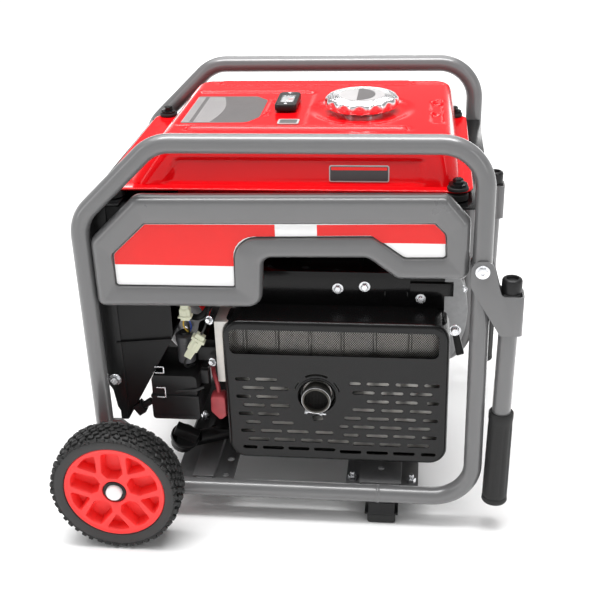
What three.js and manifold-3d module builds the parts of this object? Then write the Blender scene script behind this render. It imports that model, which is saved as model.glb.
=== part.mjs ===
// An open-frame inverter generator on two wheels, with folding handles. Millimetres, +Z up.
// X runs along the tubular side loops (handles at +X, wheels at -X), and the muffler faces -Y.
// The origin is on the floor, under the middle of the whole object's box.
import * as THREE from 'three';
import { mergeVertices } from 'three/addons/utils/BufferGeometryUtils.js';
import Module from 'manifold-3d';

const wasm = await Module();
wasm.setup();

// ---------------------------------------------------------------- driving dimensions
const GAP = 0.3; // clearance between pieces that touch

const TUBE_R = 14; // frame and handle tubing
const LOOP_Y = 228; // the two side loops stand at -LOOP_Y and +LOOP_Y
const POST_X = 289.4; // upright centrelines at -POST_X and +POST_X
const RAIL_TOP = 628.8;
const RAIL_LOW = 52.5;
const BEND_R = 62; // bend radius of the tube's centreline
const CUT_LOW = 515; // the sloped corner runs from the left post at this height ...
const CUT_TOP_X = -169.5; // ... to the top rail at this place
const WELD_X = 143; // where the loop's two ends are welded together

const WHEEL_X = -256;
const WHEEL_R = 103.5;
const RIM_R = 79;
const WHEEL_IN = 276; // distance of the wheel's inner and outer faces from the middle plane
const WHEEL_OUT = 330;
const AXLE_R = 8;

const PIVOT_Z = 450; // handle pivots, on the right posts
const ARM_X = 332; // handle tube, folded down
const ARM_TOP = 412;
const ARM_LOW = 58;
const ARM_LEAN = Math.atan2(7, ARM_TOP - ARM_LOW);
const GRIP_R = 20;
const GRIP_TOP = 213;

const PLATE_TOP = 92; // top of the engine's base plate
const SHAFT = { x: 130, z: 240 }; // crankshaft axis, along Y
const CASE_BACK = 41; // the crankcase's face towards the alternator

const CAP = { x: 108, y: -14 }; // fuel filler axis
const TANK_FLANGE = 545; // underside of the tank's seam flange
const TANK_TOP = 617;

const BOX_FACE = -270; // outer face of the control box, at the left end
const PANEL_FRONT = -273.3; // outer face of the control panel

// Bringing the middle of the whole object's box to X = 0: wheels reach WHEEL_X - WHEEL_R, handles 350.
const HANDLE_REACH = 350;
const CENTRE_SHIFT = -(WHEEL_X - WHEEL_R + HANDLE_REACH) / 2;

// ---------------------------------------------------------------- finishes
const finish = (color, roughness, metalness) => ({ color, roughness, metalness });
const FRAME_GREY = finish(0x6f7071, 0.45, 0.3);
const TANK_RED = finish(0xd0101c, 0.25, 0.1);
const HUB_RED = finish(0xe4262b, 0.45, 0);
const BLACK_STEEL = finish(0x1d1d1e, 0.5, 0.3);
const GUARD_GREY = finish(0x2c2c2d, 0.6, 0.2);
const BLACK_PLASTIC = finish(0x161617, 0.55, 0);
const RUBBER = finish(0x121212, 0.85, 0);
const ZINC = finish(0xb9bcc0, 0.35, 0.9);
const CHROME = finish(0xe2e4e6, 0.12, 1);
const ALUMINIUM = finish(0xa9acae, 0.45, 0.8);
const MUFFLER_STEEL = finish(0x8d8e8c, 0.5, 0.8);

// ---------------------------------------------------------------- solids
function toSolid(geometry) {
  const bare = geometry.index ? geometry.toNonIndexed() : geometry.clone();
  bare.deleteAttribute('normal');
  bare.deleteAttribute('uv');
  const merged = mergeVertices(bare, 1e-4);
  const vertProperties = new Float32Array(merged.attributes.position.array);
  const triVerts = new Uint32Array(merged.index.array);
  return new wasm.Manifold(new wasm.Mesh({ numProp: 3, vertProperties, triVerts }));
}

function toGeometry(solid) {
  const { vertProperties, triVerts, numProp } = solid.getMesh();
  const positions = new Float32Array((vertProperties.length / numProp) * 3);
  for (let i = 0; i < positions.length / 3; i += 1) {
    positions.set(vertProperties.subarray(i * numProp, i * numProp + 3), i * 3);
  }
  const geometry = new THREE.BufferGeometry();
  geometry.setAttribute('position', new THREE.BufferAttribute(positions, 3));
  geometry.setIndex(new THREE.BufferAttribute(new Uint32Array(triVerts), 1));
  return geometry;
}

const join = (first, ...others) => others.reduce((sum, other) => sum.add(other), first);
const cut = (first, ...others) => others.reduce((rest, other) => rest.subtract(other), first);

function box(x0, x1, y0, y1, z0, z1) {
  const geometry = new THREE.BoxGeometry(x1 - x0, y1 - y0, z1 - z0);
  return toSolid(geometry.translate((x0 + x1) / 2, (y0 + y1) / 2, (z0 + z1) / 2));
}

// A rod between two points.
function rod(from, to, radius, sides = 16, endRadius = radius) {
  const start = new THREE.Vector3(...from);
  const along = new THREE.Vector3(...to).sub(start);
  const geometry = new THREE.CylinderGeometry(endRadius, radius, along.length(), sides);
  geometry.translate(0, along.length() / 2, 0);
  const turn = new THREE.Quaternion().setFromUnitVectors(
    new THREE.Vector3(0, 1, 0), along.clone().normalize());
  geometry.applyQuaternion(turn);
  return toSolid(geometry.translate(start.x, start.y, start.z));
}

const rodY = (x, z, y0, y1, radius, sides) => rod([x, y0, z], [x, y1, z], radius, sides);

// A profile of [radius, y] points, in either direction, turned about the Y axis.
function turned(profile, sides) {
  const points = profile.map(([r, y]) => new THREE.Vector2(r, y));
  if (THREE.ShapeUtils.isClockWise(points)) points.reverse();
  return new THREE.LatheGeometry(points, sides);
}

const turnedY = (x, z, profile, sides = 32) => toSolid(turned(profile, sides).translate(x, 0, z));

// An outline through corner points; each corner [u, v, radius] is rounded by an arc.
function outline(corners) {
  const shape = new THREE.Shape();
  const count = corners.length;
  corners.forEach(([u, v, radius = 0], i) => {
    const here = new THREE.Vector2(u, v);
    const before = new THREE.Vector2(...corners[(i + count - 1) % count]).sub(here).normalize();
    const after = new THREE.Vector2(...corners[(i + 1) % count]).sub(here).normalize();
    const half = Math.acos(THREE.MathUtils.clamp(before.dot(after), -1, 1)) / 2;
    const reach = radius / Math.tan(half);
    const enter = here.clone().addScaledVector(before, reach);
    const leave = here.clone().addScaledVector(after, reach);
    if (i === 0) shape.moveTo(enter.x, enter.y);
    else shape.lineTo(enter.x, enter.y);
    if (radius === 0) return;
    const centre = here.clone().addScaledVector(
      before.clone().add(after).normalize(), radius / Math.sin(half));
    const startAngle = enter.clone().sub(centre).angle();
    const endAngle = leave.clone().sub(centre).angle();
    shape.absarc(centre.x, centre.y, radius, startAngle, endAngle, before.cross(after) > 0);
  });
  shape.closePath();
  return shape;
}

const rectangle = (u0, u1, v0, v1, radius = 0) =>
  outline([[u0, v0, radius], [u1, v0, radius], [u1, v1, radius], [u0, v1, radius]]);

// Plates: an outline drawn in two axes, given a thickness along the third.
function plate(shape, axes, low, high, arcSteps) {
  const geometry = new THREE.ExtrudeGeometry(
    shape, { depth: high - low, bevelEnabled: false, curveSegments: arcSteps });
  return toSolid(geometry.applyMatrix4(axes));
}

const V = (x, y, z) => new THREE.Vector3(x, y, z);

const plateY = (shape, y0, y1, arcSteps = 4) => {
  const axes = new THREE.Matrix4().makeBasis(V(1, 0, 0), V(0, 0, 1), V(0, -1, 0));
  return plate(shape, axes.setPosition(0, y1, 0), y0, y1, arcSteps);
};
const plateX = (shape, x0, x1, arcSteps = 4) => {
  const axes = new THREE.Matrix4().makeBasis(V(0, 1, 0), V(0, 0, 1), V(1, 0, 0));
  return plate(shape, axes.setPosition(x0, 0, 0), x0, x1, arcSteps);
};
const plateZ = (shape, z0, z1, arcSteps = 4) => {
  const axes = new THREE.Matrix4().makeTranslation(0, 0, z0);
  return plate(shape, axes, z0, z1, arcSteps);
};

// A path that steps from station to station, so that a straight run takes one step.
class StationPath extends THREE.Curve {
  constructor(stations) {
    super();
    this.stations = stations;
  }

  station(u) {
    return this.stations[Math.round(u * (this.stations.length - 1))];
  }

  getPointAt(u) {
    return this.station(u).point.clone();
  }

  getTangentAt(u) {
    return this.station(u).tangent.clone();
  }
}

// Stations of a bent tube in the X-Z plane at y: straight runs between rounded corners [x, z, radius].
function bentStations(corners, y, arcSteps) {
  const at = ([x, z]) => V(x, y, z);
  const stations = [];
  corners.forEach((corner, i) => {
    const here = at(corner);
    const into = i > 0 ? here.clone().sub(at(corners[i - 1])).normalize() : null;
    const out = i < corners.length - 1 ? at(corners[i + 1]).sub(here).normalize() : null;
    if (!into || !out) {
      stations.push({ point: here, tangent: into ?? out });
      return;
    }
    const turn = into.angleTo(out);
    const radius = corner[2];
    const start = here.clone().addScaledVector(into, -radius * Math.tan(turn / 2));
    const side = out.clone().addScaledVector(into, -into.dot(out)).normalize();
    for (let k = 0; k <= arcSteps; k += 1) {
      const angle = (turn * k) / arcSteps;
      const point = start.clone()
        .addScaledVector(into, radius * Math.sin(angle))
        .addScaledVector(side, radius * (1 - Math.cos(angle)));
      const tangent = into.clone().multiplyScalar(Math.cos(angle))
        .addScaledVector(side, Math.sin(angle));
      stations.push({ point, tangent });
    }
  });
  return stations;
}

function tube(stations, radius, sides = 12) {
  const section = new THREE.Shape();
  for (let k = 0; k <= sides; k += 1) {
    const angle = (2 * Math.PI * k) / sides;
    const [u, v] = [radius * Math.cos(angle), radius * Math.sin(angle)];
    if (k === 0) section.moveTo(u, v);
    else section.lineTo(u, v);
  }
  const path = new StationPath(stations);
  return toSolid(new THREE.ExtrudeGeometry(
    section, { steps: stations.length - 1, extrudePath: path }));
}

// A closed skin over rings of equal numbers of points, lowest ring first.
function loft(rings) {
  const count = rings[0].length;
  const positions = rings.flat().flatMap((p) => [p.x, p.y, p.z]);
  const index = [];
  for (let r = 0; r < rings.length - 1; r += 1) {
    for (let k = 0; k < count; k += 1) {
      const [a, b] = [r * count + k, r * count + ((k + 1) % count)];
      index.push(a, b, b + count, a, b + count, a + count);
    }
  }
  const top = (rings.length - 1) * count;
  for (let k = 1; k < count - 1; k += 1) {
    index.push(0, k + 1, k);
    index.push(top, top + k, top + k + 1);
  }
  const geometry = new THREE.BufferGeometry();
  geometry.setAttribute('position', new THREE.Float32BufferAttribute(positions, 3));
  geometry.setIndex(index);
  return toSolid(geometry);
}

// A level ring round a rounded rectangle, anticlockwise from above.
function levelRing(z, [x0, x1, y0, y1, radius], inset = 0, cornerSteps = 4) {
  const r = Math.max(radius - inset, 1);
  const corners = [[x1, y1, 0], [x0, y1, 1], [x0, y0, 2], [x1, y0, 3]];
  return corners.flatMap(([x, y, quarter]) => {
    const cx = x === x0 ? x0 + inset + r : x1 - inset - r;
    const cy = y === y0 ? y0 + inset + r : y1 - inset - r;
    return Array.from({ length: cornerSteps + 1 }, (_, k) => {
      const angle = (Math.PI / 2) * (quarter + k / cornerSteps);
      return V(cx + r * Math.cos(angle), cy + r * Math.sin(angle), z);
    });
  });
}

// ---------------------------------------------------------------- the assembly
const generator = new THREE.Group();
generator.position.x = CENTRE_SHIFT;

function add(name, solid, look, parent = generator) {
  const mesh = new THREE.Mesh(toGeometry(solid), new THREE.MeshStandardMaterial(look));
  mesh.name = name;
  parent.add(mesh);
  return mesh;
}

// side is -1 for the near side (muffler) and +1 for the far side (recoil starter)
const SIDES = [['near', -1], ['far', 1]];
const span = (side, inner, outer) => (side < 0 ? [-outer, -inner] : [inner, outer]);

// ---------------------------------------------------------------- frame
const LOOP_CORNERS = [
  [WELD_X - 1, RAIL_LOW],
  [-POST_X, RAIL_LOW, BEND_R],
  [-POST_X, CUT_LOW, BEND_R],
  [CUT_TOP_X, RAIL_TOP, BEND_R],
  [POST_X, RAIL_TOP, BEND_R],
  [POST_X, RAIL_LOW, BEND_R],
  [WELD_X + 1, RAIL_LOW],
];
const PIVOT_BOLT_R = 5;

const loopTube = (y, radius) => tube(bentStations(LOOP_CORNERS, y, 4), radius);

function frameLoop(side) {
  const y = side * LOOP_Y;
  const weld = rod([WELD_X - 4, y, RAIL_LOW], [WELD_X + 4, y, RAIL_LOW], TUBE_R + 1, 16);
  const boltHole = rodY(POST_X, PIVOT_Z, y - 20, y + 20, PIVOT_BOLT_R + GAP, 16);
  return cut(join(loopTube(y, TUBE_R), weld), boltHole);
}

// A hat-section channel across the frame, welded between the lower rails.
const CHANNEL_Z = 50;
const CHANNEL_RISE = 10;
const SHEET = 3;
const CROWN_TOP = CHANNEL_Z + CHANNEL_RISE + SHEET;
function baseChannel(left, foldLeft, foldRight, right, holes) {
  const crown = CHANNEL_Z + CHANNEL_RISE;
  const section = outline([
    [left, CHANNEL_Z], [foldLeft + SHEET, CHANNEL_Z], [foldLeft + SHEET, crown],
    [foldRight - SHEET, crown], [foldRight - SHEET, CHANNEL_Z], [right, CHANNEL_Z],
    [right, CHANNEL_Z + SHEET], [foldRight, CHANNEL_Z + SHEET], [foldRight, crown + SHEET],
    [foldLeft, crown + SHEET], [foldLeft, CHANNEL_Z + SHEET], [left, CHANNEL_Z + SHEET],
  ]);
  const end = LOOP_Y - TUBE_R - GAP;
  const drills = holes.map(([x, y, r]) => rod([x, y, 40], [x, y, 80], r, 12));
  return cut(plateY(section, -end, end), ...drills);
}
const LEFT_CHANNEL_HOLES = [[-107, -150, 6], [-108, -196, 5], [-107, 150, 6], [-108, 196, 5]];
const RIGHT_CHANNEL_HOLES = [[146, -174, 5], [146, 174, 5], [101, 176, 5], [192, 176, 5]];

// Angle rails under the tank's flange, across the top of the frame.
const TANK_RAIL_TOP = 533;
function tankRail(x0, x1, up) {
  const end = LOOP_Y - TUBE_R - GAP;
  const shelf = box(x0, x1, -end, end, TANK_RAIL_TOP - SHEET, TANK_RAIL_TOP);
  const web = up > 0 ? [x1 - SHEET, x1] : [x0, x0 + SHEET];
  return join(shelf, box(web[0], web[1], -end, end, TANK_RAIL_TOP - 28, TANK_RAIL_TOP));
}

// A gusset in each lower left corner of a loop, which holds the axle.
const GUSSET_HALF = 3;
function axleBracket(side) {
  const y = side * LOOP_Y;
  const corner = outline([
    [-POST_X, RAIL_LOW + BEND_R], [-POST_X + BEND_R, RAIL_LOW], [-196, RAIL_LOW], [-196, 84, 8],
    [-232, 150, 30], [-262, 176, 8], [-POST_X, 176],
  ]);
  return cut(
    plateY(corner, y - GUSSET_HALF, y + GUSSET_HALF),
    loopTube(y, TUBE_R + GAP),
    rodY(WHEEL_X, WHEEL_R, y - 9, y + 9, AXLE_R + GAP),
  );
}

// A foot under the right end of each loop: a steel saddle and a rubber block.
const FOOT = { x0: 126, x1: 171, in: LOOP_Y - 27, out: LOOP_Y + 9, top: 17 };
function footBracket(side) {
  const [y0, y1] = span(side, FOOT.in, FOOT.out);
  const y = side * LOOP_Y;
  const web = box(FOOT.x0 + 2, FOOT.x1 - 2, y0, y1, FOOT.top + 2, 46);
  const flange = box(FOOT.x0 - 4, FOOT.x1 + 4, y0, y1, FOOT.top + GAP, FOOT.top + 3.5);
  return cut(
    join(web, flange),
    rod([100, y, RAIL_LOW], [200, y, RAIL_LOW], TUBE_R + 1 + GAP, 16),
  );
}
function footRubber(side) {
  const [y0, y1] = span(side, FOOT.in + 1, FOOT.out - 1);
  const ring = (z, inset) => levelRing(z, [FOOT.x0, FOOT.x1, y0, y1, 4], inset);
  return loft([ring(0, 2), ring(3, 0), ring(FOOT.top, 0)]);
}

for (const [place, side] of SIDES) {
  add(`frame_loop_${place}`, frameLoop(side), FRAME_GREY);
  add(`axle_bracket_${place}`, axleBracket(side), FRAME_GREY);
  add(`foot_bracket_${place}`, footBracket(side), BLACK_STEEL);
  add(`foot_rubber_${place}`, footRubber(side), RUBBER);
}
add('base_channel_left', baseChannel(-190, -159, -125, -94, LEFT_CHANNEL_HOLES), FRAME_GREY);
add('base_channel_right', baseChannel(90, 112, 179, 206, RIGHT_CHANNEL_HOLES), FRAME_GREY);
add('tank_rail_left', tankRail(-284, -232, -1), BLACK_STEEL);
add('tank_rail_right', tankRail(244, 300, 1), BLACK_STEEL);

// ---------------------------------------------------------------- wheels
const HUB_FACE = WHEEL_OUT - 8; // the hub boss's outer face
const HUB_BORE = AXLE_R + 0.15;
const POCKETS = 5;

function wheelHub(side) {
  const d = side;
  const profile = [
    [HUB_BORE, HUB_FACE], [26, HUB_FACE], [26, HUB_FACE - 3], [RIM_R - 8, HUB_FACE - 3],
    [RIM_R, HUB_FACE + 2], [RIM_R, WHEEL_IN + 6], [RIM_R - 8, WHEEL_IN + 6],
    [RIM_R - 8, WHEEL_IN + 14], [24, WHEEL_IN + 14], [22, WHEEL_IN + 4], [HUB_BORE, WHEEL_IN + 4],
    [HUB_BORE, HUB_FACE],
  ].map(([r, y]) => [r, y * d]);
  const pockets = [];
  for (let k = 0; k < POCKETS; k += 1) {
    const angle = (2 * Math.PI * k) / POCKETS + Math.PI / 2;
    const middle = [WHEEL_X + 46 * Math.cos(angle), WHEEL_R + 46 * Math.sin(angle)];
    const between = angle + Math.PI / POCKETS;
    const outer = [WHEEL_X + 62 * Math.cos(between), WHEEL_R + 62 * Math.sin(between)];
    const [y0, y1] = span(side, WHEEL_IN + 22, WHEEL_OUT + 4);
    pockets.push(rodY(...middle, y0, y1, 15.5, 6), rodY(...outer, y0, y1, 8, 6));
  }
  return cut(turnedY(WHEEL_X, WHEEL_R, profile), ...pockets);
}

function tyre(side) {
  const inner = RIM_R + GAP;
  const profile = [
    [inner, WHEEL_IN + 3], [WHEEL_R - 8, WHEEL_IN], [WHEEL_R, WHEEL_IN + 10],
    [WHEEL_R, WHEEL_OUT - 10], [WHEEL_R - 8, WHEEL_OUT], [inner, WHEEL_OUT - 3],
    [inner, WHEEL_IN + 3],
  ].map(([r, y]) => [r, y * side]);
  return turnedY(WHEEL_X, WHEEL_R, profile, 48);
}

function axleNut(side) {
  const [w0, w1] = span(side, HUB_FACE + GAP, HUB_FACE + 3);
  const [n0, n1] = span(side, HUB_FACE + 2, WHEEL_OUT);
  const washer = rodY(WHEEL_X, WHEEL_R, w0, w1, 17.5, 20);
  const nut = rodY(WHEEL_X, WHEEL_R, n0, n1, 12.5, 20);
  const [b0, b1] = span(side, 0, AXLE_END + GAP);
  return cut(join(washer, nut), rodY(WHEEL_X, WHEEL_R, b0, b1, AXLE_R + GAP));
}
const AXLE_START = LOOP_Y - 16; // each wheel has its own stub axle
const AXLE_END = WHEEL_OUT - 2;

for (const [place, side] of SIDES) {
  const stub = span(side, AXLE_START, AXLE_END);
  add(`axle_${place}`, rodY(WHEEL_X, WHEEL_R, ...stub, AXLE_R), ZINC);
  add(`wheel_hub_${place}`, wheelHub(side), HUB_RED);
  add(`tyre_${place}`, tyre(side), RUBBER);
  add(`axle_nut_${place}`, axleNut(side), ZINC);
}

// ---------------------------------------------------------------- folding handles
const EAR = 3; // sheet thickness of the pivot bracket
const EAR_IN = TUBE_R + 1; // from the tube's middle plane to an ear's inner face
const SADDLE_X = 318; // the handle tube is held between the ears from here to the reach
const SADDLE_TOP = ARM_TOP - 1;
const SADDLE_LOW = 349;
const axisX = (z) => ARM_X - (ARM_TOP - z) * Math.tan(ARM_LEAN);

function handleArm(side) {
  const y = side * LOOP_Y;
  const earShape = outline([
    [POST_X - 16, PIVOT_Z + 15, 14], [POST_X + 14, PIVOT_Z + 15, 13], [SADDLE_X, SADDLE_TOP, 8],
    [HANDLE_REACH, SADDLE_TOP, 2], [HANDLE_REACH, SADDLE_LOW, 3], [SADDLE_X, SADDLE_LOW, 3],
    [POST_X - 16, PIVOT_Z - 24, 12],
  ]);
  const ears = [[-EAR_IN - EAR, -EAR_IN], [EAR_IN, EAR_IN + EAR]].map(
    ([a, b]) => plateY(earShape, y + a, y + b, 3));
  const [seamLow, seamTop] = [SADDLE_LOW + 3, SADDLE_TOP - 3];
  const back = box(HANDLE_REACH - EAR, HANDLE_REACH, y - EAR_IN - 1, y + EAR_IN + 1, seamLow, seamTop);
  const arm = tube([[axisX(ARM_TOP), ARM_TOP], [axisX(ARM_LOW), ARM_LOW]].map(([x, z]) => (
    { point: V(x, y, z), tangent: V(axisX(ARM_LOW) - ARM_X, 0, ARM_LOW - ARM_TOP).normalize() })), TUBE_R);
  const seams = [-1, 1].map((s) => box(
    ARM_X - 8, ARM_X + 12, y + s * EAR_IN - 1.5, y + s * EAR_IN + 1.5, seamLow, seamTop));
  const boltHole = rodY(POST_X, PIVOT_Z, y - 30, y + 30, PIVOT_BOLT_R + GAP, 16);
  return cut(join(arm, ...ears, back, ...seams), boltHole);
}

// The grip and the end plug are turned pieces on the arm's leaning axis.
function onArm(side) {
  const group = new THREE.Group();
  group.position.set(ARM_X, side * LOOP_Y, ARM_TOP);
  group.rotation.y = ARM_LEAN;
  generator.add(group);
  return group;
}
const turnedZ = (profile, sides = 16) => toSolid(turned(profile, sides).rotateX(Math.PI / 2));
const armLength = (ARM_TOP - ARM_LOW) / Math.cos(ARM_LEAN);
const gripProfile = [
  [0, -armLength - 7], [GRIP_R - 4, -armLength - 7], [GRIP_R, -armLength - 3],
  [GRIP_R, GRIP_TOP - ARM_TOP - 3], [GRIP_R - 3, GRIP_TOP - ARM_TOP],
  [TUBE_R + GAP, GRIP_TOP - ARM_TOP], [TUBE_R + GAP, -armLength - GAP], [0, -armLength - GAP],
];
const plugProfile = [
  [0, GAP], [TUBE_R + 0.4, GAP], [TUBE_R + 0.4, 20], [TUBE_R - 1, 22.5], [TUBE_R - 4, 22.5],
  [TUBE_R - 6, 18], [0, 18],
];

function pivotBolt(side) {
  const y = side * LOOP_Y;
  const reach = EAR_IN + EAR + GAP;
  const shank = rodY(POST_X, PIVOT_Z, y - reach - 4, y + reach + 4, PIVOT_BOLT_R, 16);
  const head = [[-reach - 5, -reach], [reach, reach + 5]].map(
    ([a, b]) => rodY(POST_X, PIVOT_Z, y + a, y + b, 10.5, 24));
  return join(shank, ...head);
}

for (const [place, side] of SIDES) {
  add(`handle_arm_${place}`, handleArm(side), FRAME_GREY);
  const axis = onArm(side);
  add(`handle_grip_${place}`, turnedZ(gripProfile), RUBBER, axis);
  add(`handle_plug_${place}`, turnedZ(plugProfile), BLACK_PLASTIC, axis);
  add(`pivot_bolt_${place}`, pivotBolt(side), ZINC);
}

// ---------------------------------------------------------------- fuel tank
const NECK_R = 33;
const NECK_TOP = 622;
function fuelTank() {
  const lower = [-165, 238, -158, 158, 34];
  const shell = (inset) => loft([
    levelRing(492 + inset, [-150, 222, -142, 142, 34], inset),
    levelRing(506 + inset, lower, inset),
    levelRing(TANK_FLANGE + 1, lower, inset),
    levelRing(TANK_FLANGE + 2, [-228, 256, -174, 174, 30], inset),
    levelRing(600 - inset / 2, [-189, 249, -166, 168, 30], inset),
    levelRing(612 - inset, [-180, 245, -162, 165, 26], inset),
    levelRing(TANK_TOP - inset, [-170, 236, -153, 157, 20], inset),
  ]);
  const flangeRing = [-268, 275, -190, 190, 22];
  const flange = loft([levelRing(TANK_FLANGE, flangeRing), levelRing(TANK_FLANGE + SHEET, flangeRing)]);
  const neck = rod([CAP.x, CAP.y, TANK_TOP - 10], [CAP.x, CAP.y, NECK_TOP], NECK_R, 24);
  const mouth = rod([CAP.x, CAP.y, TANK_TOP - 20], [CAP.x, CAP.y, NECK_TOP + 1], NECK_R - SHEET, 24);
  const ribs = [[-142, 177, -113], [-135, 178, 140]].map(
    ([x0, x1, y]) => box(x0, x1, y - 6, y + 6, TANK_TOP - 2, TANK_TOP + 3));
  return cut(join(shell(0), flange, neck, ...ribs), shell(SHEET), mouth);
}

const CAP_R = 57;
const SCALLOPS = 10;
const SCALLOP_STEPS = 4;
function fuelCap() {
  const count = SCALLOPS * SCALLOP_STEPS;
  const points = Array.from({ length: count }, (_, k) => {
    const angle = (2 * Math.PI * k) / count;
    const r = CAP_R - 3.5 * (0.5 - 0.5 * Math.cos(angle * SCALLOPS));
    return new THREE.Vector2(CAP.x + r * Math.cos(angle), CAP.y + r * Math.sin(angle));
  });
  const rim = plateZ(new THREE.Shape(points), NECK_TOP - 1, NECK_TOP + 13);
  const dome = rod([CAP.x, CAP.y, NECK_TOP + 12], [CAP.x, CAP.y, NECK_TOP + 18], 50, 24, 44);
  const well = rod([CAP.x, CAP.y, NECK_TOP - 2], [CAP.x, CAP.y, NECK_TOP + GAP], NECK_R + 2, 24);
  const plug = rod([CAP.x, CAP.y, NECK_TOP - 5], [CAP.x, CAP.y, NECK_TOP + 2], NECK_R - SHEET - 1, 24);
  return join(cut(join(rim, dome), well), plug);
}

function fuelGauge() {
  const ring = (z, inset) => levelRing(z, [-26, 8, -31, 46, 8], inset);
  return loft([ring(TANK_TOP + GAP, 0), ring(TANK_TOP + 8, 0), ring(TANK_TOP + 11, 3)]);
}

const VALVE = { x: 212, y: -120 };
function fuelValve() {
  const { x, y } = VALVE;
  return join(
    rod([x, y, 478], [x, y, 490], 14, 20),
    rod([x, y, 452], [x, y, 480], 11, 20),
    rod([x, y - 18, 462], [x, y + 12, 462], 9, 20),
    rod([x, y, 452], [x, y, 436], 5, 12),
  );
}
function valveLever() {
  const { x, y } = VALVE;
  const hub = rodY(x, 462, y - 24, y - 18 - GAP, 9, 20);
  return join(hub, plateY(rectangle(x - 4, x + 4, 426, 462, 3), y - 24, y - 19));
}

add('fuel_tank', fuelTank(), TANK_RED);
add('fuel_cap', fuelCap(), CHROME);
add('fuel_gauge', fuelGauge(), BLACK_PLASTIC);
add('fuel_valve', fuelValve(), ALUMINIUM);
add('valve_lever', valveLever(), HUB_RED);

// ---------------------------------------------------------------- side panels
const PANEL_OUTLINE = [
  [-203, 553, 24], [-275, 484, 20], [-275, 377.5, 14], [-27, 381, 22], [-22, 460, 14],
  [128, 462.5, 16], [170, 430.5, 16], [272, 431.5, 14], [272, 520, 16], [240, 558, 20],
];
const WINDOW_OUTLINE = [
  [-192, 512, 6], [-244, 463, 12], [-244, 411, 6], [-64, 412, 4], [-62, 490, 34],
  [136, 494, 14], [180, 462, 14], [240, 463.5, 6], [238, 501.5, 12], [222, 518, 6],
];
function sidePanel(side) {
  const rim = plateY(outline(PANEL_OUTLINE), ...span(side, LOOP_Y - 10, LOOP_Y + 13), 4);
  const recess = plateY(outline(WINDOW_OUTLINE), ...span(side, LOOP_Y, LOOP_Y + 14), 4);
  return cut(rim, recess, loopTube(side * LOOP_Y, TUBE_R + GAP), rodY(
    POST_X, PIVOT_Z, ...span(side, LOOP_Y - 20, LOOP_Y + 30), 18, 16));
}
for (const [place, side] of SIDES) {
  add(`side_panel_${place}`, sidePanel(side), FRAME_GREY);
}

// ---------------------------------------------------------------- muffler
const GUARD = { x0: -95, x1: 249, z0: 100, z1: 346, front: -212, back: -150, radius: 28 };
const OUTLET = { x: 48, z: 219, radius: 21.5 };
const SLOT = { length: 31, height: 5.5, pitch: 41, row: 13.8, top: 246, rows: 10 };

function guardSlots() {
  const clear = 52; // no slots this close to the outlet
  const slots = [];
  for (let row = 0; row < SLOT.rows; row += 1) {
    const z = SLOT.top - row * SLOT.row;
    const first = GUARD.x0 + 34 + (row % 2 ? SLOT.pitch / 2 : 0);
    for (let x = first; x < GUARD.x1 - 26; x += SLOT.pitch) {
      const hidden = Math.hypot(x - OUTLET.x, z - OUTLET.z) < clear + SLOT.length / 2;
      if (!hidden) slots.push([x, z]);
    }
  }
  return slots;
}

function mufflerGuard() {
  const { x0, x1, z0, z1, front, back, radius } = GUARD;
  const body = plateY(rectangle(x0, x1, z0, z1, radius), front, back);
  const t = 2;
  const hollow = plateY(rectangle(x0 + t, x1 - t, z0 + t, z1 - t, radius - t), front + t, back + 1);
  const [halfLength, halfHeight] = [SLOT.length / 2, SLOT.height / 2];
  const slots = guardSlots().map(([x, z]) => (
    box(x - halfLength, x + halfLength, front - 1, front + t + 1, z - halfHeight, z + halfHeight)));
  const window = box(-84, 233, front - 1, front + t + 1, 290, 332);
  const pipeHole = rodY(OUTLET.x, OUTLET.z, front - 2, front + t + 2, OUTLET.radius + 4, 32);
  return cut(body, hollow, window, pipeHole, ...slots);
}

function mufflerBody() {
  const can = plateY(rectangle(-86, 240, 110, 336, 26), -196, -84);
  const strip = box(-107, -84, -203, -110, 235, 340);
  const stub = rodY(OUTLET.x, OUTLET.z, -206, -190, OUTLET.radius - 4, 24);
  const leftFlange = box(-107, -84, -114, -110, 200, 340);
  return cut(join(can, strip, leftFlange, stub), guardClearance());
}
// The muffler keeps clear of the guard's side wall and corner.
function guardClearance() {
  const wall = plateY(rectangle(GUARD.x0 - GAP, GUARD.x1 + 1, GUARD.z0 - 1, GUARD.z1 + 1, 28),
    GUARD.front - 1, GUARD.back + 1);
  const inside = plateY(rectangle(GUARD.x0 + 2 + GAP, GUARD.x1 - 2 - GAP, GUARD.z0 + 2 + GAP,
    GUARD.z1 - 2 - GAP, 26), GUARD.front - 2, GUARD.back + 2);
  return cut(wall, inside);
}

function exhaustOutlet() {
  const { x, z, radius } = OUTLET;
  const pipe = turnedY(x, z, [
    [radius, -228], [radius + 1, -226], [radius + 1, -207], [radius - 3, -206.3], [radius - 3, -222],
    [radius - 2, -228], [radius, -228],
  ], 24);
  const spark = rodY(x, z, -216, -213, radius - 2.5, 24);
  const clamp = box(x - 15, x + 15, -224, -219, z - radius - 5, z - radius + 1);
  return join(pipe, spark, clamp);
}

// The black bracket across the top of the muffler, with its bar end at the right.
function mufflerBracket() {
  return join(
    box(-75, 240, -149.7, -146.7, 338, 402),
    box(-75, 240, -149.7, -104, 399, 402),
    box(188, 253, -157, -149, 368, 389),
  );
}

add('muffler_body', mufflerBody(), MUFFLER_STEEL);
add('muffler_guard', mufflerGuard(), GUARD_GREY);
add('exhaust_outlet', exhaustOutlet(), BLACK_STEEL);
add('muffler_bracket', mufflerBracket(), BLACK_STEEL);

// ---------------------------------------------------------------- engine
const OIL = { at: V(-184, -150, 92), axis: V(0.4, -0.3, 0.87).normalize() };
const NECK_Z = 77.6; // the oil filler runs just under the base plate
const along = (distance) => OIL.at.clone().addScaledVector(OIL.axis, distance).toArray();

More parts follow.
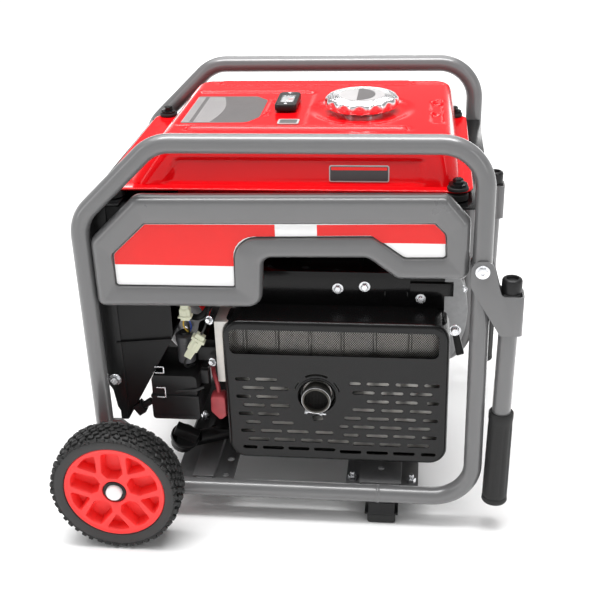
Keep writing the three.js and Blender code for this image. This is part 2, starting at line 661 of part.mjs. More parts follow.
function crankcase() {
  const base = box(-172, 205, -121, CASE_BACK - 1, PLATE_TOP - 4, PLATE_TOP);
  const block = plateY(outline([
    [-62, PLATE_TOP - 1], [196, PLATE_TOP - 1], [214, 130, 10], [214, 300, 26], [150, 336, 26],
    [-30, 336, 12], [-62, 300, 12],
  ]), -70, CASE_BACK);
  const lobe = plateY(outline([
    [-140, PLATE_TOP - 1], [-60, PLATE_TOP - 1], [-60, 196], [-112, 196, 10], [-140, 150, 10],
  ]), -80, 30);
  const pipe = rod(along(-10), [-120, -104, NECK_Z], 13);
  const elbow = rod(along(-16), along(-GAP), 19);
  const capSpace = rod(along(-GAP), along(60), 30);
  const slot = box(-168, -154, -92, -82, 80, 100);
  const hole = rod([-140, -112, 80], [-140, -112, 100], 4.5, 12);
  const feet = [[-143, -100], [-143, 22], [145, -100], [145, 22]].map(
    ([x, y]) => rod([x, y, CROWN_TOP + GAP], [x, y, PLATE_TOP - 2], 13));
  return cut(join(cut(join(base, block, lobe), slot, hole), pipe, elbow, ...feet), capSpace);
}

function oilCap() {
  const flange = rod(along(0), along(8), 24, 24);
  const side = V(0, 1, 0).cross(OIL.axis).normalize();
  const grip = new THREE.BoxGeometry(40, 15, 20).translate(0, 0, 17);
  grip.applyMatrix4(new THREE.Matrix4().makeBasis(side, OIL.axis.clone().cross(side), OIL.axis));
  return join(flange, toSolid(grip.translate(...OIL.at.toArray())));
}

// A finned cylinder and head beside the crankcase, with the rocker cover on its end.
function cylinderHead() {
  const barrel = box(-118, -62 - GAP, -52, 26, 206, 322);
  const fins = Array.from({ length: 6 }, (_, k) => (
    box(-112 + k * 8, -109 + k * 8, -62, 36, 199, 330)));
  const cover = plateX(rectangle(-50, 24, 214, 314, 16), -142, -116);
  return join(barrel, cover, ...fins);
}

function airCleaner() {
  const lower = plateY(rectangle(-216, -140, 165, 206, 5), -206, -108);
  const upper = plateY(rectangle(-214, -142, 205, 243, 8), -204, -110);
  const duct = rod([-150, -120, 225], [-145, -66, 262], 18, 16);
  return join(lower, upper, duct);
}

function engineShroud() {
  const side = outline([
    [-60, 337 + GAP], [205, 337 + GAP], [205, 400, 14], [160, 452, 20], [-20, 452, 20], [-60, 410, 14],
  ]);
  return plateY(side, -98, CASE_BACK - 1);
}

function alternatorHousing() {
  return turnedY(SHAFT.x, SHAFT.z, [
    [18, CASE_BACK + GAP], [155, CASE_BACK + GAP], [155, 98], [120, 142], [98, 142], [98, 138],
    [117, 138], [151, 96], [151, CASE_BACK + 4], [18, CASE_BACK + 4], [18, CASE_BACK + GAP],
  ], 40);
}

function rotor() {
  return turnedY(SHAFT.x, SHAFT.z, [
    [0, CASE_BACK + 1], [16, CASE_BACK + 1], [16, 60], [108, 60], [112, 66], [112, 112], [104, 112],
    [100, 72], [40, 72], [40, 128], [34, 132], [0, 132],
  ], 24);
}

function recoilCover() {
  const dome = turnedY(SHAFT.x, SHAFT.z, [
    [0, 186], [54, 186], [94, 168], [106, 154], [106, 142 + GAP], [102, 142 + GAP], [102, 153],
    [91, 165], [53, 182], [0, 182],
  ], 32);
  const guide = box(SHAFT.x + 44, SHAFT.x + 74, 160, 190, SHAFT.z + 44, SHAFT.z + 74);
  return join(dome, guide);
}

function recoilHandle() {
  const [x, z] = [SHAFT.x + 59, SHAFT.z + 59];
  const bar = plateY(rectangle(x - 48, x + 48, z - 10, z + 10, 9.5), 193, 209);
  const stem = rodY(x, z, 190 + GAP, 195, 9, 20);
  return join(bar, stem);
}

function starterMotor() {
  const can = rodY(-25, 126, CASE_BACK + GAP, 160, 33);
  const solenoid = rodY(-58, 178, 50, 122, 18);
  return join(can, solenoid, box(-62, -40, 60, 76, 140, 176));
}

add('crankcase', crankcase(), BLACK_STEEL);
add('oil_cap', oilCap(), BLACK_PLASTIC);
add('cylinder_head', cylinderHead(), ALUMINIUM);
add('air_cleaner', airCleaner(), BLACK_PLASTIC);
add('engine_shroud', engineShroud(), BLACK_PLASTIC);
add('alternator_housing', alternatorHousing(), ALUMINIUM);
add('rotor', rotor(), MUFFLER_STEEL);
add('recoil_cover', recoilCover(), BLACK_STEEL);
add('recoil_handle', recoilHandle(), BLACK_PLASTIC);
add('starter_motor', starterMotor(), BLACK_STEEL);

// ---------------------------------------------------------------- battery and inverter
function battery() {
  const ring = (z, inset = 0) => levelRing(z, [-176, -84, 72, 206, 5], inset, 2);
  const posts = [96, 182].map((y) => rod([-104, y, 208], [-104, y, 222], 6, 12));
  return join(loft([ring(CROWN_TOP + GAP), ring(210)]), ...posts);
}
function inverterModule() {
  const body = box(-172 + GAP, -84, -30, 200, 360, 440);
  const fins = Array.from({ length: 8 }, (_, k) => box(-162 + k * 10.5, -159 + k * 10.5, -30, 200, 439, 466));
  return join(body, ...fins);
}
add('battery', battery(), BLACK_PLASTIC);
add('inverter_module', inverterModule(), ALUMINIUM);

// ---------------------------------------------------------------- control box, at the left end
const BOX_Y = 204;
function controlBox() {
  const corners = [[BOX_FACE, 160], [-258, 160, 4], [-176, 306], [-172, 320], [-172, 526], [BOX_FACE, 526]];
  const inner = [
    [BOX_FACE + 2, 190], [-252, 190], [-184, 318], [-150, 330], [-150, 524], [BOX_FACE + 2, 524],
  ];
  return cut(
    plateY(outline(corners), -BOX_Y, BOX_Y),
    plateY(outline(inner), -BOX_Y + 2, BOX_Y - 2),
    box(BOX_FACE - 1, BOX_FACE + 3, -45, 165, 295, 430),
  );
}
const PANEL_BACK = BOX_FACE - GAP;

// Controls on the panel, as [y, z] of each centre.
const DIAL = [138, 400];
const START = [138, 322];
const BREAKERS = [[-20, 330], [20, 330]];
const DUPLEX = [[-150, 420], [-90, 420]];
const TWIST = [0, 420];

function controlPanel() {
  const holes = [[DIAL, 7], [START, 12], ...BREAKERS.map((at) => [at, 7])].map(
    ([[y, z], r]) => rod([PANEL_FRONT - 9, y, z], [PANEL_BACK + 1, y, z], r));
  return cut(plateX(rectangle(-196, 196, 200, 494, 8), PANEL_FRONT, PANEL_BACK), ...holes);
}
function duplexOutlet([y, z]) {
  return plateX(rectangle(y - 22, y + 22, z - 36, z + 36, 8), PANEL_FRONT - 6, PANEL_FRONT - GAP);
}
function twistOutlet([y, z]) {
  const face = PANEL_FRONT - GAP;
  return cut(
    rod([face, y, z], [face - 12, y, z], 30, 24),
    rod([face - 8, y, z], [face - 13, y, z], 24, 24),
  );
}
function engineDial([y, z]) {
  const face = PANEL_FRONT - GAP;
  const knob = rod([face, y, z], [face - 18, y, z], 24, 24, 21);
  const pointer = box(face - 22, face - 17, y - 3, y + 3, z - 20, z + 22);
  return join(knob, pointer);
}
function pushButton([y, z], radius, proud) {
  return rod([PANEL_BACK - GAP, y, z], [PANEL_FRONT - proud, y, z], radius);
}
add('control_box', controlBox(), BLACK_STEEL);
add('control_panel', controlPanel(), BLACK_PLASTIC);
DUPLEX.forEach((at, k) => add(`duplex_outlet_${k + 1}`, duplexOutlet(at), BLACK_PLASTIC));
add('twist_outlet', twistOutlet(TWIST), BLACK_PLASTIC);
add('engine_dial', engineDial(DIAL), HUB_RED);
add('start_button', pushButton(START, 11.5, 7), HUB_RED);
BREAKERS.forEach((at, k) => add(`breaker_button_${k + 1}`, pushButton(at, 6.5, 7), BLACK_PLASTIC));

export default generator;
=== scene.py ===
import math
import random

import bmesh
import bpy
from mathutils import Matrix, Vector


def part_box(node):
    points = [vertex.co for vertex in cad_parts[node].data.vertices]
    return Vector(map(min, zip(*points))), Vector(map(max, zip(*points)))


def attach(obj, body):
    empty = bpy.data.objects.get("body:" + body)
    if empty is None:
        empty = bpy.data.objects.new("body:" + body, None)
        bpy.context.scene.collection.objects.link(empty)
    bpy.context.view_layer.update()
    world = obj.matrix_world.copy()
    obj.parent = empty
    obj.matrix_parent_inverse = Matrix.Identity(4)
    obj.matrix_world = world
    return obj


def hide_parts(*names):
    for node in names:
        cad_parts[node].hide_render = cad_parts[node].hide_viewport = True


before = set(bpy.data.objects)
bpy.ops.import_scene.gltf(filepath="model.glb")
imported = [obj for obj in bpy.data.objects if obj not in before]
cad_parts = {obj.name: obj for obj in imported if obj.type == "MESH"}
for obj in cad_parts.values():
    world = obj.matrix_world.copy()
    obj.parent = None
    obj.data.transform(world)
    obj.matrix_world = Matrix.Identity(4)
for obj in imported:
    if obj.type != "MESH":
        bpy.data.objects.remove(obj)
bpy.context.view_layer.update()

MM = 0.001
BOX_FACE = -270.0
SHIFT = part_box("control_box")[0].x / MM - BOX_FACE

# ------------------------------------------------------------------ sizes shared by several pieces
TUBE_R = 14.0
LOOP_Y = 228.0
POST_X = 289.4
RAIL_TOP = 628.8
RAIL_LOW = 52.5
BEND_R = 62.0
WELD_X = 143.0
WHEEL_X = -256.0
WHEEL_R = 103.5
RIM_R = 79.0
WHEEL_IN = 276.0
WHEEL_OUT = 330.0
WHEEL_MIDDLE = (WHEEL_X, 0, WHEEL_R)
PIVOT_Z = 450.0
ARM_X = 332.0
ARM_TOP = 412.0
ARM_LOW = 58.0
GRIP_TOP = 213.0
SHAFT_X = 130.0
SHAFT_Z = 240.0
SHAFT = (SHAFT_X, 0, SHAFT_Z)
CAP_X = 108.0
CAP_Y = -14.0
TANK_TOP = 617.0
GUARD_X0 = -95.0
GUARD_X1 = 249.0
GUARD_Z0 = 100.0
GUARD_Z1 = 346.0
GUARD_FRONT = -212.0
CUT_FRONT = -216.0
CUT_BACK = -205.0
WINDOW = (-84, 233, 290, 332)
OUTLET_X = 48.0
OUTLET_Z = 219.0
OUTLET = (OUTLET_X, 0, OUTLET_Z)
PIPE_R = 21.3
PANEL_FRONT = -273.3
DIAL_Y = 138.0
DIAL_Z = 400.0
ARC_STEP = 0.08
EDGE_SEGMENTS = 2
EDGE_ANGLE = 35
SIDES = (("near", -1), ("far", 1))
TOWARD_US = (0, -1, 0)
AWAY = (0, 1, 0)
UP = (0, 0, 1)
LEFT = (-1, 0, 0)


# ------------------------------------------------------------------ shapes: lists of points and faces
def join(*shapes):
    points = []
    faces = []
    for shape in shapes:
        start = len(points)
        points.extend(shape[0])
        faces.extend(tuple(i + start for i in face) for face in shape[1])
    return points, faces


def moved(shape, matrix):
    return [matrix @ Vector(p) for p in shape[0]], shape[1]


def block(x0, x1, y0, y1, z0, z1):
    points = [Vector((x, y, z)) for z in (z0, z1) for x, y in ((x0, y0), (x1, y0), (x1, y1), (x0, y1))]
    faces = [(3, 2, 1, 0), (4, 5, 6, 7), (0, 1, 5, 4), (1, 2, 6, 5), (2, 3, 7, 6), (3, 0, 4, 7)]
    return points, faces


def skin(rings, closed=False):
    """A surface over rings of equal numbers of points, closed at both ends or joined last to first."""
    count = len(rings[0])
    points = [Vector(p) for ring in rings for p in ring]
    faces = []
    last = len(rings) if closed else len(rings) - 1
    for r in range(last):
        a = r * count
        b = ((r + 1) % len(rings)) * count
        for k in range(count):
            n = (k + 1) % count
            faces.append((a + k, a + n, b + n, b + k))
    if not closed:
        faces.append(tuple(range(count - 1, -1, -1)))
        faces.append(tuple(range((len(rings) - 1) * count, len(rings) * count)))
    return points, faces


def side_axes(direction):
    """Two unit vectors square to a direction and to each other."""
    along = Vector(direction).normalized()
    helper = Vector(UP) if abs(along.z) < 0.9 else Vector(AWAY)
    first = helper.cross(along).normalized()
    return first, along.cross(first)


def lathe(centre, axis, profile, sides=48, looped=False):
    """A profile of (radius, distance along the axis), turned about the axis."""
    along = Vector(axis).normalized()
    u, v = side_axes(along)
    rings = []
    for radius, height in profile:
        middle = Vector(centre) + along * height
        ring = []
        for k in range(sides):
            angle = 2 * math.pi * k / sides
            ring.append(middle + (u * math.cos(angle) + v * math.sin(angle)) * max(radius, 0.02))
        rings.append(ring)
    return skin(rings, closed=looped)


def rod(start, end, radius, sides=24, edge=0.0):
    along = Vector(end) - Vector(start)
    length = along.length
    if edge:
        profile = [(radius - edge, 0), (radius, edge), (radius, length - edge), (radius - edge, length)]
    else:
        profile = [(radius, 0), (radius, length)]
    return lathe(start, along, profile, sides)


def sweep(path, radius, sides=24):
    """A round bar along a path, its section kept square to the path."""
    points = [Vector(p) for p in path]
    rings = []
    u = None
    for i, point in enumerate(points):
        before = points[max(i - 1, 0)]
        after = points[min(i + 1, len(points) - 1)]
        along = (after - before).normalized()
        if u is None:
            u = side_axes(along)[0]
        u = (u - along * u.dot(along)).normalized()
        v = along.cross(u)
        ring = []
        for k in range(sides):
            angle = 2 * math.pi * k / sides
            ring.append(point + u * (radius * math.cos(angle)) + v * (radius * math.sin(angle)))
        rings.append(ring)
    return skin(rings)


def bend(corners):
    """Points along a path in a plane, each corner (u, v, radius) rounded by an arc."""
    out = []
    last = len(corners) - 1
    for i, corner in enumerate(corners):
        here = Vector(corner[:2])
        if i in (0, last) or len(corner) < 3:
            out.append(here)
            continue
        before = (Vector(corners[i - 1][:2]) - here).normalized()
        after = (Vector(corners[i + 1][:2]) - here).normalized()
        out.extend(corner_arc(here, before, after, corner[2]))
    return out


def corner_arc(here, before, after, radius, count=None):
    """Points round one corner: a given number of steps, or one about every ARC_STEP radians."""
    half = before.angle(after) / 2
    reach = radius / math.tan(half)
    middle = here + (before + after).normalized() * (radius / math.sin(half))
    start = here + before * reach - middle
    turn = math.pi - 2 * half
    if before.x * after.y - before.y * after.x > 0:
        turn = -turn
    steps = count if count else max(2, round(abs(turn) / ARC_STEP))
    out = []
    for k in range(steps + 1):
        angle = turn * k / steps
        c, s = math.cos(angle), math.sin(angle)
        out.append(middle + Vector((start.x * c - start.y * s, start.x * s + start.y * c)))
    return out


def inset(corners, distance):
    """The same outline drawn in by a distance, or out by a negative one."""
    count = len(corners)
    area = sum(
        corners[i][0] * corners[(i + 1) % count][1] - corners[(i + 1) % count][0] * corners[i][1]
        for i in range(count)
    )
    sign = 1 if area > 0 else -1
    out = []
    for i, corner in enumerate(corners):
        here = Vector(corner[:2])
        into = (here - Vector(corners[i - 1][:2])).normalized()
        away = (Vector(corners[(i + 1) % count][:2]) - here).normalized()
        left_in = Vector((-into.y, into.x)) * sign
        left_out = Vector((-away.y, away.x)) * sign
        cross = into.x * away.y - into.y * away.x
        shift = (left_in + left_out) / (1 + left_in.dot(left_out))
        spot = here + shift * distance
        convex = cross * sign > 0
        radius = corner[2] - distance if convex else corner[2] + distance
        out.append((spot.x, spot.y, max(radius, 0.4)))
    return out


def outline(corners, count=6):
    """A closed ring of (u, v) points round an outline of (u, v, radius) corners."""
    out = []
    number = len(corners)
    for i, corner in enumerate(corners):
        here = Vector(corner[:2])
        before = (Vector(corners[i - 1][:2]) - here).normalized()
        after = (Vector(corners[(i + 1) % number][:2]) - here).normalized()
        out.extend(corner_arc(here, before, after, corner[2], count=count))
    return out


def rectangle(u0, u1, v0, v1, radius):
    return [(u0, v0, radius), (u1, v0, radius), (u1, v1, radius), (u0, v1, radius)]


def at_y(ring, y):
    return [Vector((p.x, y, p.y)) for p in ring]


def at_x(ring, x):
    return [Vector((x, p.x, p.y)) for p in ring]


def at_z(ring, z):
    return [Vector((p.x, p.y, z)) for p in ring]


def slab(corners, low, high, place=at_y, edge=0.0, count=6):
    """An outline given a thickness, with its two rims eased by an edge radius."""
    if not edge:
        ring = outline(corners, count)
        return skin([place(ring, low), place(ring, high)])
    steps = [(low, edge), (low + edge * 0.3, edge * 0.3), (low + edge, 0)]
    steps += [(high - edge, 0), (high - edge * 0.3, edge * 0.3), (high, edge)]
    return skin([place(outline(inset(corners, d), count), level) for level, d in steps])


def mirrored(shape, side):
    """The near-side shape, or its mirror image on the far side."""
    if side < 0:
        return shape
    return [Vector((p[0], -p[1], p[2])) for p in shape[0]], [tuple(reversed(f)) for f in shape[1]]


def to_mesh(name, shape):
    """A mesh in metres, its faces turned outward."""
    mesh = bpy.data.meshes.new(name)
    points = [((p[0] + SHIFT) * MM, p[1] * MM, p[2] * MM) for p in shape[0]]
    mesh.from_pydata(points, [], shape[1])
    work = bmesh.new()
    work.from_mesh(mesh)
    bmesh.ops.remove_doubles(work, verts=work.verts, dist=0.00001)
    bmesh.ops.recalc_face_normals(work, faces=work.faces)
    work.to_mesh(mesh)
    work.free()
    mesh.validate()
    return mesh


def placed(name, data):
    """An object in the scene that shows this mesh, camera or light."""
    item = bpy.data.objects.new(name, data)
    bpy.context.scene.collection.objects.link(item)
    return item


def settle(piece):
    """Applies a piece's modifiers to its mesh."""
    graph = bpy.context.evaluated_depsgraph_get()
    done = bpy.data.meshes.new_from_object(piece.evaluated_get(graph))
    piece.modifiers.clear()
    piece.data = done


def carve(piece, cutters):
    """Cuts closed shapes out of a piece."""
    tool = placed("cutter", to_mesh("cutter", join(*cutters)))
    change = piece.modifiers.new("cut", "BOOLEAN")
    change.operation = "DIFFERENCE"
    change.solver = "EXACT"
    change.object = tool
    settle(piece)
    bpy.data.objects.remove(tool)


def ease(piece, width):
    """Rounds a piece's sharp edges."""
    change = piece.modifiers.new("edge", "BEVEL")
    change.width = width * MM
    change.segments = EDGE_SEGMENTS
    change.limit_method = "ANGLE"
    change.angle_limit = math.radians(EDGE_ANGLE)
    change.harden_normals = False
    settle(piece)


def make(name, shape, material, body="frame", edge=0.0, cuts=None, replaces=(), smooth=38):
    """A finished piece: mesh, cuts, eased edges, material, and the body that it rides on."""
    piece = placed(name, to_mesh(name, shape))
    for tools in cuts or ():
        carve(piece, tools)
    if edge:
        ease(piece, edge)
    finish_piece(piece, material, body, replaces, smooth)
    return piece


def finish_piece(piece, material, body, replaces, smooth):
    piece.data.materials.clear()
    piece.data.materials.append(material)
    piece.data.shade_smooth()
    piece.data.set_sharp_from_angle(angle=math.radians(smooth))
    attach(piece, body)
    if replaces:
        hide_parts(*replaces)


def refined(node, material, edge=0.8, body="frame"):
    """A CAD piece's own shape with its flat faces merged and its edges eased."""
    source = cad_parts[node]
    mesh = source.data.copy()
    work = bmesh.new()
    work.from_mesh(mesh)
    bmesh.ops.remove_doubles(work, verts=work.verts, dist=0.00002)
    bmesh.ops.dissolve_limit(work, angle_limit=math.radians(1), verts=work.verts, edges=work.edges)
    bmesh.ops.recalc_face_normals(work, faces=work.faces)
    work.to_mesh(mesh)
    work.free()
    piece = placed(node + "_eased", mesh)
    if edge:
        ease(piece, edge)
    finish_piece(piece, material, body, (node,), 38)
    return piece


# ------------------------------------------------------------------ materials
def finish(name, colour, rough, metal=0.0, vary=0.06, grain=60.0, bump=0.0, bump_size=900.0,
           rough_spread=0.08, coat=0.0, coat_rough=0.1, tint=None, specular=0.5):
    """A surface whose colour and roughness drift gently, with a fine bump."""
    material = bpy.data.materials.new(name)
    material.use_nodes = True
    tree = material.node_tree
    nodes = tree.nodes
    links = tree.links
    shader = nodes["Principled BSDF"]
    place = nodes.new("ShaderNodeTexCoord")
    broad = nodes.new("ShaderNodeTexNoise")
    broad.inputs["Scale"].default_value = grain
    broad.inputs["Detail"].default_value = 6.0
    broad.inputs["Roughness"].default_value = 0.6
    links.new(place.outputs["Object"], broad.inputs["Vector"])
    blend = nodes.new("ShaderNodeValToRGB")
    dark = [c * (1 - vary) for c in colour]
    light = [min(c * (1 + vary), 1.0) for c in (tint if tint else colour)]
    blend.color_ramp.elements[0].position = 0.32
    blend.color_ramp.elements[1].position = 0.68
    blend.color_ramp.elements[0].color = (*dark, 1)
    blend.color_ramp.elements[1].color = (*light, 1)
    links.new(broad.outputs["Fac"], blend.inputs["Fac"])
    links.new(blend.outputs["Color"], shader.inputs["Base Color"])
    sheen_map = nodes.new("ShaderNodeMapRange")
    sheen_map.inputs["To Min"].default_value = max(rough - rough_spread, 0.02)
    sheen_map.inputs["To Max"].default_value = min(rough + rough_spread, 1.0)
    links.new(broad.outputs["Fac"], sheen_map.inputs["Value"])
    links.new(sheen_map.outputs["Result"], shader.inputs["Roughness"])
    shader.inputs["Metallic"].default_value = metal
    shader.inputs["Specular IOR Level"].default_value = specular
    shader.inputs["Coat Weight"].default_value = coat
    shader.inputs["Coat Roughness"].default_value = coat_rough
    if bump:
        fine = nodes.new("ShaderNodeTexNoise")
        fine.inputs["Scale"].default_value = bump_size
        fine.inputs["Detail"].default_value = 3.0
        relief = nodes.new("ShaderNodeBump")
        relief.inputs["Strength"].default_value = bump
        relief.inputs["Distance"].default_value = 0.0004
        links.new(place.outputs["Object"], fine.inputs["Vector"])
        links.new(fine.outputs["Fac"], relief.inputs["Height"])
        links.new(relief.outputs["Normal"], shader.inputs["Normal"])
    return material


def glass(name, colour, alpha):
    """A clear window that lets most of what is behind it through."""
    material = finish(name, colour, 0.08, vary=0.02, rough_spread=0.03)
    shader = material.node_tree.nodes["Principled BSDF"]
    shader.inputs["Alpha"].default_value = alpha
    return material


GREY_PAINT = finish("grey_paint", (0.122, 0.122, 0.124), 0.30, vary=0.02, grain=14, bump=0.05,
                    bump_size=1400, rough_spread=0.03, coat=0.6, coat_rough=0.09)
PANEL_PAINT = finish("panel_paint", (0.118, 0.118, 0.120), 0.28, vary=0.015, grain=12, bump=0.04,
                     bump_size=1200, rough_spread=0.02, coat=0.7, coat_rough=0.08)
TANK_PAINT = finish("tank_paint", (0.62, 0.003, 0.006), 0.16, vary=0.03, grain=8, rough_spread=0.03,
                    coat=0.30, coat_rough=0.05, specular=0.12)
HUB_PLASTIC = finish("hub_plastic", (0.90, 0.035, 0.033), 0.42, vary=0.04, grain=20, bump=0.1,
                     bump_size=1600, specular=0.4)
LABEL_RED = finish("label_red", (0.80, 0.014, 0.012), 0.30, vary=0.02, grain=30, rough_spread=0.04,
                   coat=0.2, coat_rough=0.12, specular=0.3)
LABEL_WHITE = finish("label_white", (0.92, 0.92, 0.92), 0.30, vary=0.015, grain=30,
                     rough_spread=0.04, coat=0.3, coat_rough=0.12)
LABEL_GREY = finish("label_grey", (0.085, 0.078, 0.078), 0.35, vary=0.08, grain=90, coat=0.4)
LABEL_PALE = finish("label_pale", (0.40, 0.385, 0.385), 0.35, vary=0.05, grain=90, coat=0.4)
LABEL_DARK = finish("label_dark", (0.03, 0.028, 0.03), 0.35, vary=0.08, grain=90, coat=0.2)
BLACK_PAINT = finish("black_paint", (0.005, 0.005, 0.0052), 0.20, vary=0.15, grain=30, bump=0.10,
                     bump_size=1100, coat=0.1, coat_rough=0.12, specular=0.18)
BLACK_METAL = finish("black_metal", (0.009, 0.009, 0.0095), 0.38, vary=0.2, grain=40, bump=0.15,
                     bump_size=900, specular=0.25)
GUARD_PAINT = finish("guard_paint", (0.006, 0.006, 0.0062), 0.22, vary=0.10, grain=24, bump=0.22,
                     bump_size=1500, specular=0.3)
BLACK_PLASTIC = finish("black_plastic", (0.014, 0.014, 0.0145), 0.36, vary=0.12, grain=50, bump=0.25,
                       bump_size=1800, specular=0.25)
BOX_PLASTIC = finish("box_plastic", (0.007, 0.007, 0.0073), 0.42, vary=0.10, grain=30, bump=0.3,
                     bump_size=1600, specular=0.22)
# A darker, less glossy copy of the black plastic for the engine shroud inside the frame: painted shade for
# the shadowed interior.
SHADED_SHROUD_PLASTIC = finish("shroud_plastic_painted_shade", (0.005, 0.005, 0.0052), 0.30, vary=0.12, grain=40, bump=0.2,
                        bump_size=1500, specular=0.10)
SOFT_RUBBER = finish("soft_rubber", (0.012, 0.012, 0.012), 0.58, vary=0.15, grain=60, bump=0.3,
                     bump_size=1300, specular=0.35)
TREAD_RUBBER = finish("tread_rubber", (0.008, 0.008, 0.008), 0.60, vary=0.3, grain=90, bump=0.6,
                      bump_size=800, specular=0.5)
WALL_RUBBER = finish("wall_rubber", (0.032, 0.032, 0.032), 0.60, vary=0.1, grain=40, bump=0.2,
                     bump_size=1500, specular=0.4)
ZINC = finish("zinc", (0.74, 0.75, 0.77), 0.26, metal=1.0, vary=0.10, grain=120, bump=0.1,
              bump_size=1500)
SATIN_CHROME = finish("satin_chrome", (0.93, 0.93, 0.94), 0.24, metal=1.0, vary=0.03, grain=50,
                      rough_spread=0.05)
BRUSHED = finish("brushed_steel", (0.34, 0.34, 0.34), 0.36, metal=1.0, vary=0.10, grain=300)
ALUMINIUM = finish("cast_aluminium", (0.22, 0.222, 0.225), 0.42, metal=0.85, vary=0.10, grain=80,
                   bump=0.5, bump_size=700)
MUFFLER_STEEL = finish("muffler_steel", (0.60, 0.59, 0.57), 0.42, metal=0.9, vary=0.25, grain=26,
                       bump=0.2, bump_size=500, tint=(0.44, 0.42, 0.39))
PIPE_STEEL = finish("pipe_steel", (0.09, 0.085, 0.075), 0.42, metal=0.8, vary=0.35, grain=70,
                    bump=0.2, bump_size=700)
ROTOR_STEEL = finish("rotor_steel", (0.30, 0.30, 0.31), 0.40, metal=0.9, vary=0.12, grain=60)
MESH_STEEL = finish("mesh_steel", (0.018, 0.017, 0.016), 0.42, metal=0.8, vary=0.30, grain=60)
CREAM_NYLON = finish("cream_nylon", (0.60, 0.61, 0.46), 0.40, vary=0.06, grain=70, bump=0.08)
RED_RUBBER = finish("red_rubber", (0.42, 0.05, 0.06), 0.45, vary=0.18, grain=50, bump=0.1)
RED_PLASTIC = finish("red_plastic", (0.72, 0.02, 0.02), 0.32, vary=0.04, grain=50, bump=0.1)
RELAY_GREY = finish("relay_grey", (0.06, 0.06, 0.065), 0.42, vary=0.1, grain=60, bump=0.1)
WIRE_BLACK = finish("wire_black", (0.012, 0.012, 0.012), 0.45, vary=0.1, grain=100)
WIRE_BLUE = finish("wire_blue", (0.02, 0.05, 0.25), 0.45, vary=0.1, grain=100)
WIRE_YELLOW = finish("wire_yellow", (0.55, 0.36, 0.03), 0.45, vary=0.1, grain=100)
CAP_WHITE = finish("cap_white", (0.80, 0.80, 0.80), 0.25, vary=0.02, grain=60)
CLEAR = glass("clear_window", (0.75, 0.78, 0.8), 0.16)


# ------------------------------------------------------------------ fasteners
def hex_bolt(centre, axis, width, height):
    """A hexagon head on a round washer."""
    washer = lathe(centre, axis, [(width * 0.82, 0), (width * 0.88, 0.4), (width * 0.84, 1.4)], 28)
    head = lathe(centre, axis, [
        (width * 0.577, 1.2), (width * 0.577, height * 0.82), (width * 0.48, height)], 6)
    return join(washer, head)


def nut_and_stud(centre, axis, width, height):
    nut = lathe(centre, axis, [
        (width * 0.577, 0), (width * 0.577, height * 0.5), (width * 0.5, height * 0.6)], 6)
    stud = lathe(centre, axis, [(width * 0.3, 0), (width * 0.3, height * 0.92), (width * 0.24, height)], 16)
    return join(nut, stud)


# ------------------------------------------------------------------ frame
LOOP_CORNERS = [
    (WELD_X - 1, RAIL_LOW),
    (-POST_X, RAIL_LOW, BEND_R),
    (-POST_X, 515, BEND_R),
    (-169.5, RAIL_TOP, BEND_R),
    (POST_X, RAIL_TOP, BEND_R),
    (POST_X, RAIL_LOW, BEND_R),
    (WELD_X + 1, RAIL_LOW),
]


def frame_loops():
    for place, side in SIDES:
        y = side * LOOP_Y
        tube = sweep(at_y(bend(LOOP_CORNERS), y), TUBE_R, 40)
        bead = []
        for k in range(9):
            angle = math.pi * k / 8
            bead.append((TUBE_R - 0.3 + 1.2 * math.sin(angle), -3.4 + 6.8 * k / 8))
        ring = lathe((WELD_X, y, RAIL_LOW), (1, 0, 0), bead, 48)
        make("loop_tube_" + place, join(tube, ring), GREY_PAINT,
             replaces=("frame_loop_" + place,))
        refined("axle_bracket_" + place, GREY_PAINT, 0.7)
        refined("foot_bracket_" + place, BLACK_METAL, 1.0)
        refined("foot_rubber_" + place, SOFT_RUBBER, 1.0)


def base_pieces():
    refined("base_channel_left", GREY_PAINT, 0.6)
    refined("base_channel_right", GREY_PAINT, 0.6)
    refined("tank_rail_left", BLACK_PAINT, 0.5)
    refined("tank_rail_right", BLACK_PAINT, 0.5)
    bolts = []
    for x, y in ((100, -194), (195, -196), (100, 194), (195, 196)):
        bolts.append(nut_and_stud((x, y, 53.2), UP, 13, 15))
    for x, y in ((-160, -87), (-148, 12), (130, 12)):
        bolts.append(nut_and_stud((x, y, 92.2), UP, 12, 13))
    make("base_bolts", join(*bolts), ZINC)


# ------------------------------------------------------------------ wheels
def polar(radius, across, angle):
    """A point at a radius and a sideways distance, turned to an angle about the wheel's middle."""
    c, s = math.cos(angle), math.sin(angle)
    return (WHEEL_X + radius * c - across * s, WHEEL_R + radius * s + across * c)


def pocket(corners, angle, front, back, draft):
    """A drafted pocket: corners are (radius, across, corner radius)."""
    here = [(*polar(r, a, angle), c) for r, a, c in corners]
    return skin([
        at_y(outline(inset(here, -0.9), 5), -front - 1.0),
        at_y(outline(inset(here, -0.9), 5), -front + 0.01),
        at_y(outline(inset(here, 0.0), 5), -front + 1.1),
        at_y(outline(inset(here, draft), 5), -back),
    ])


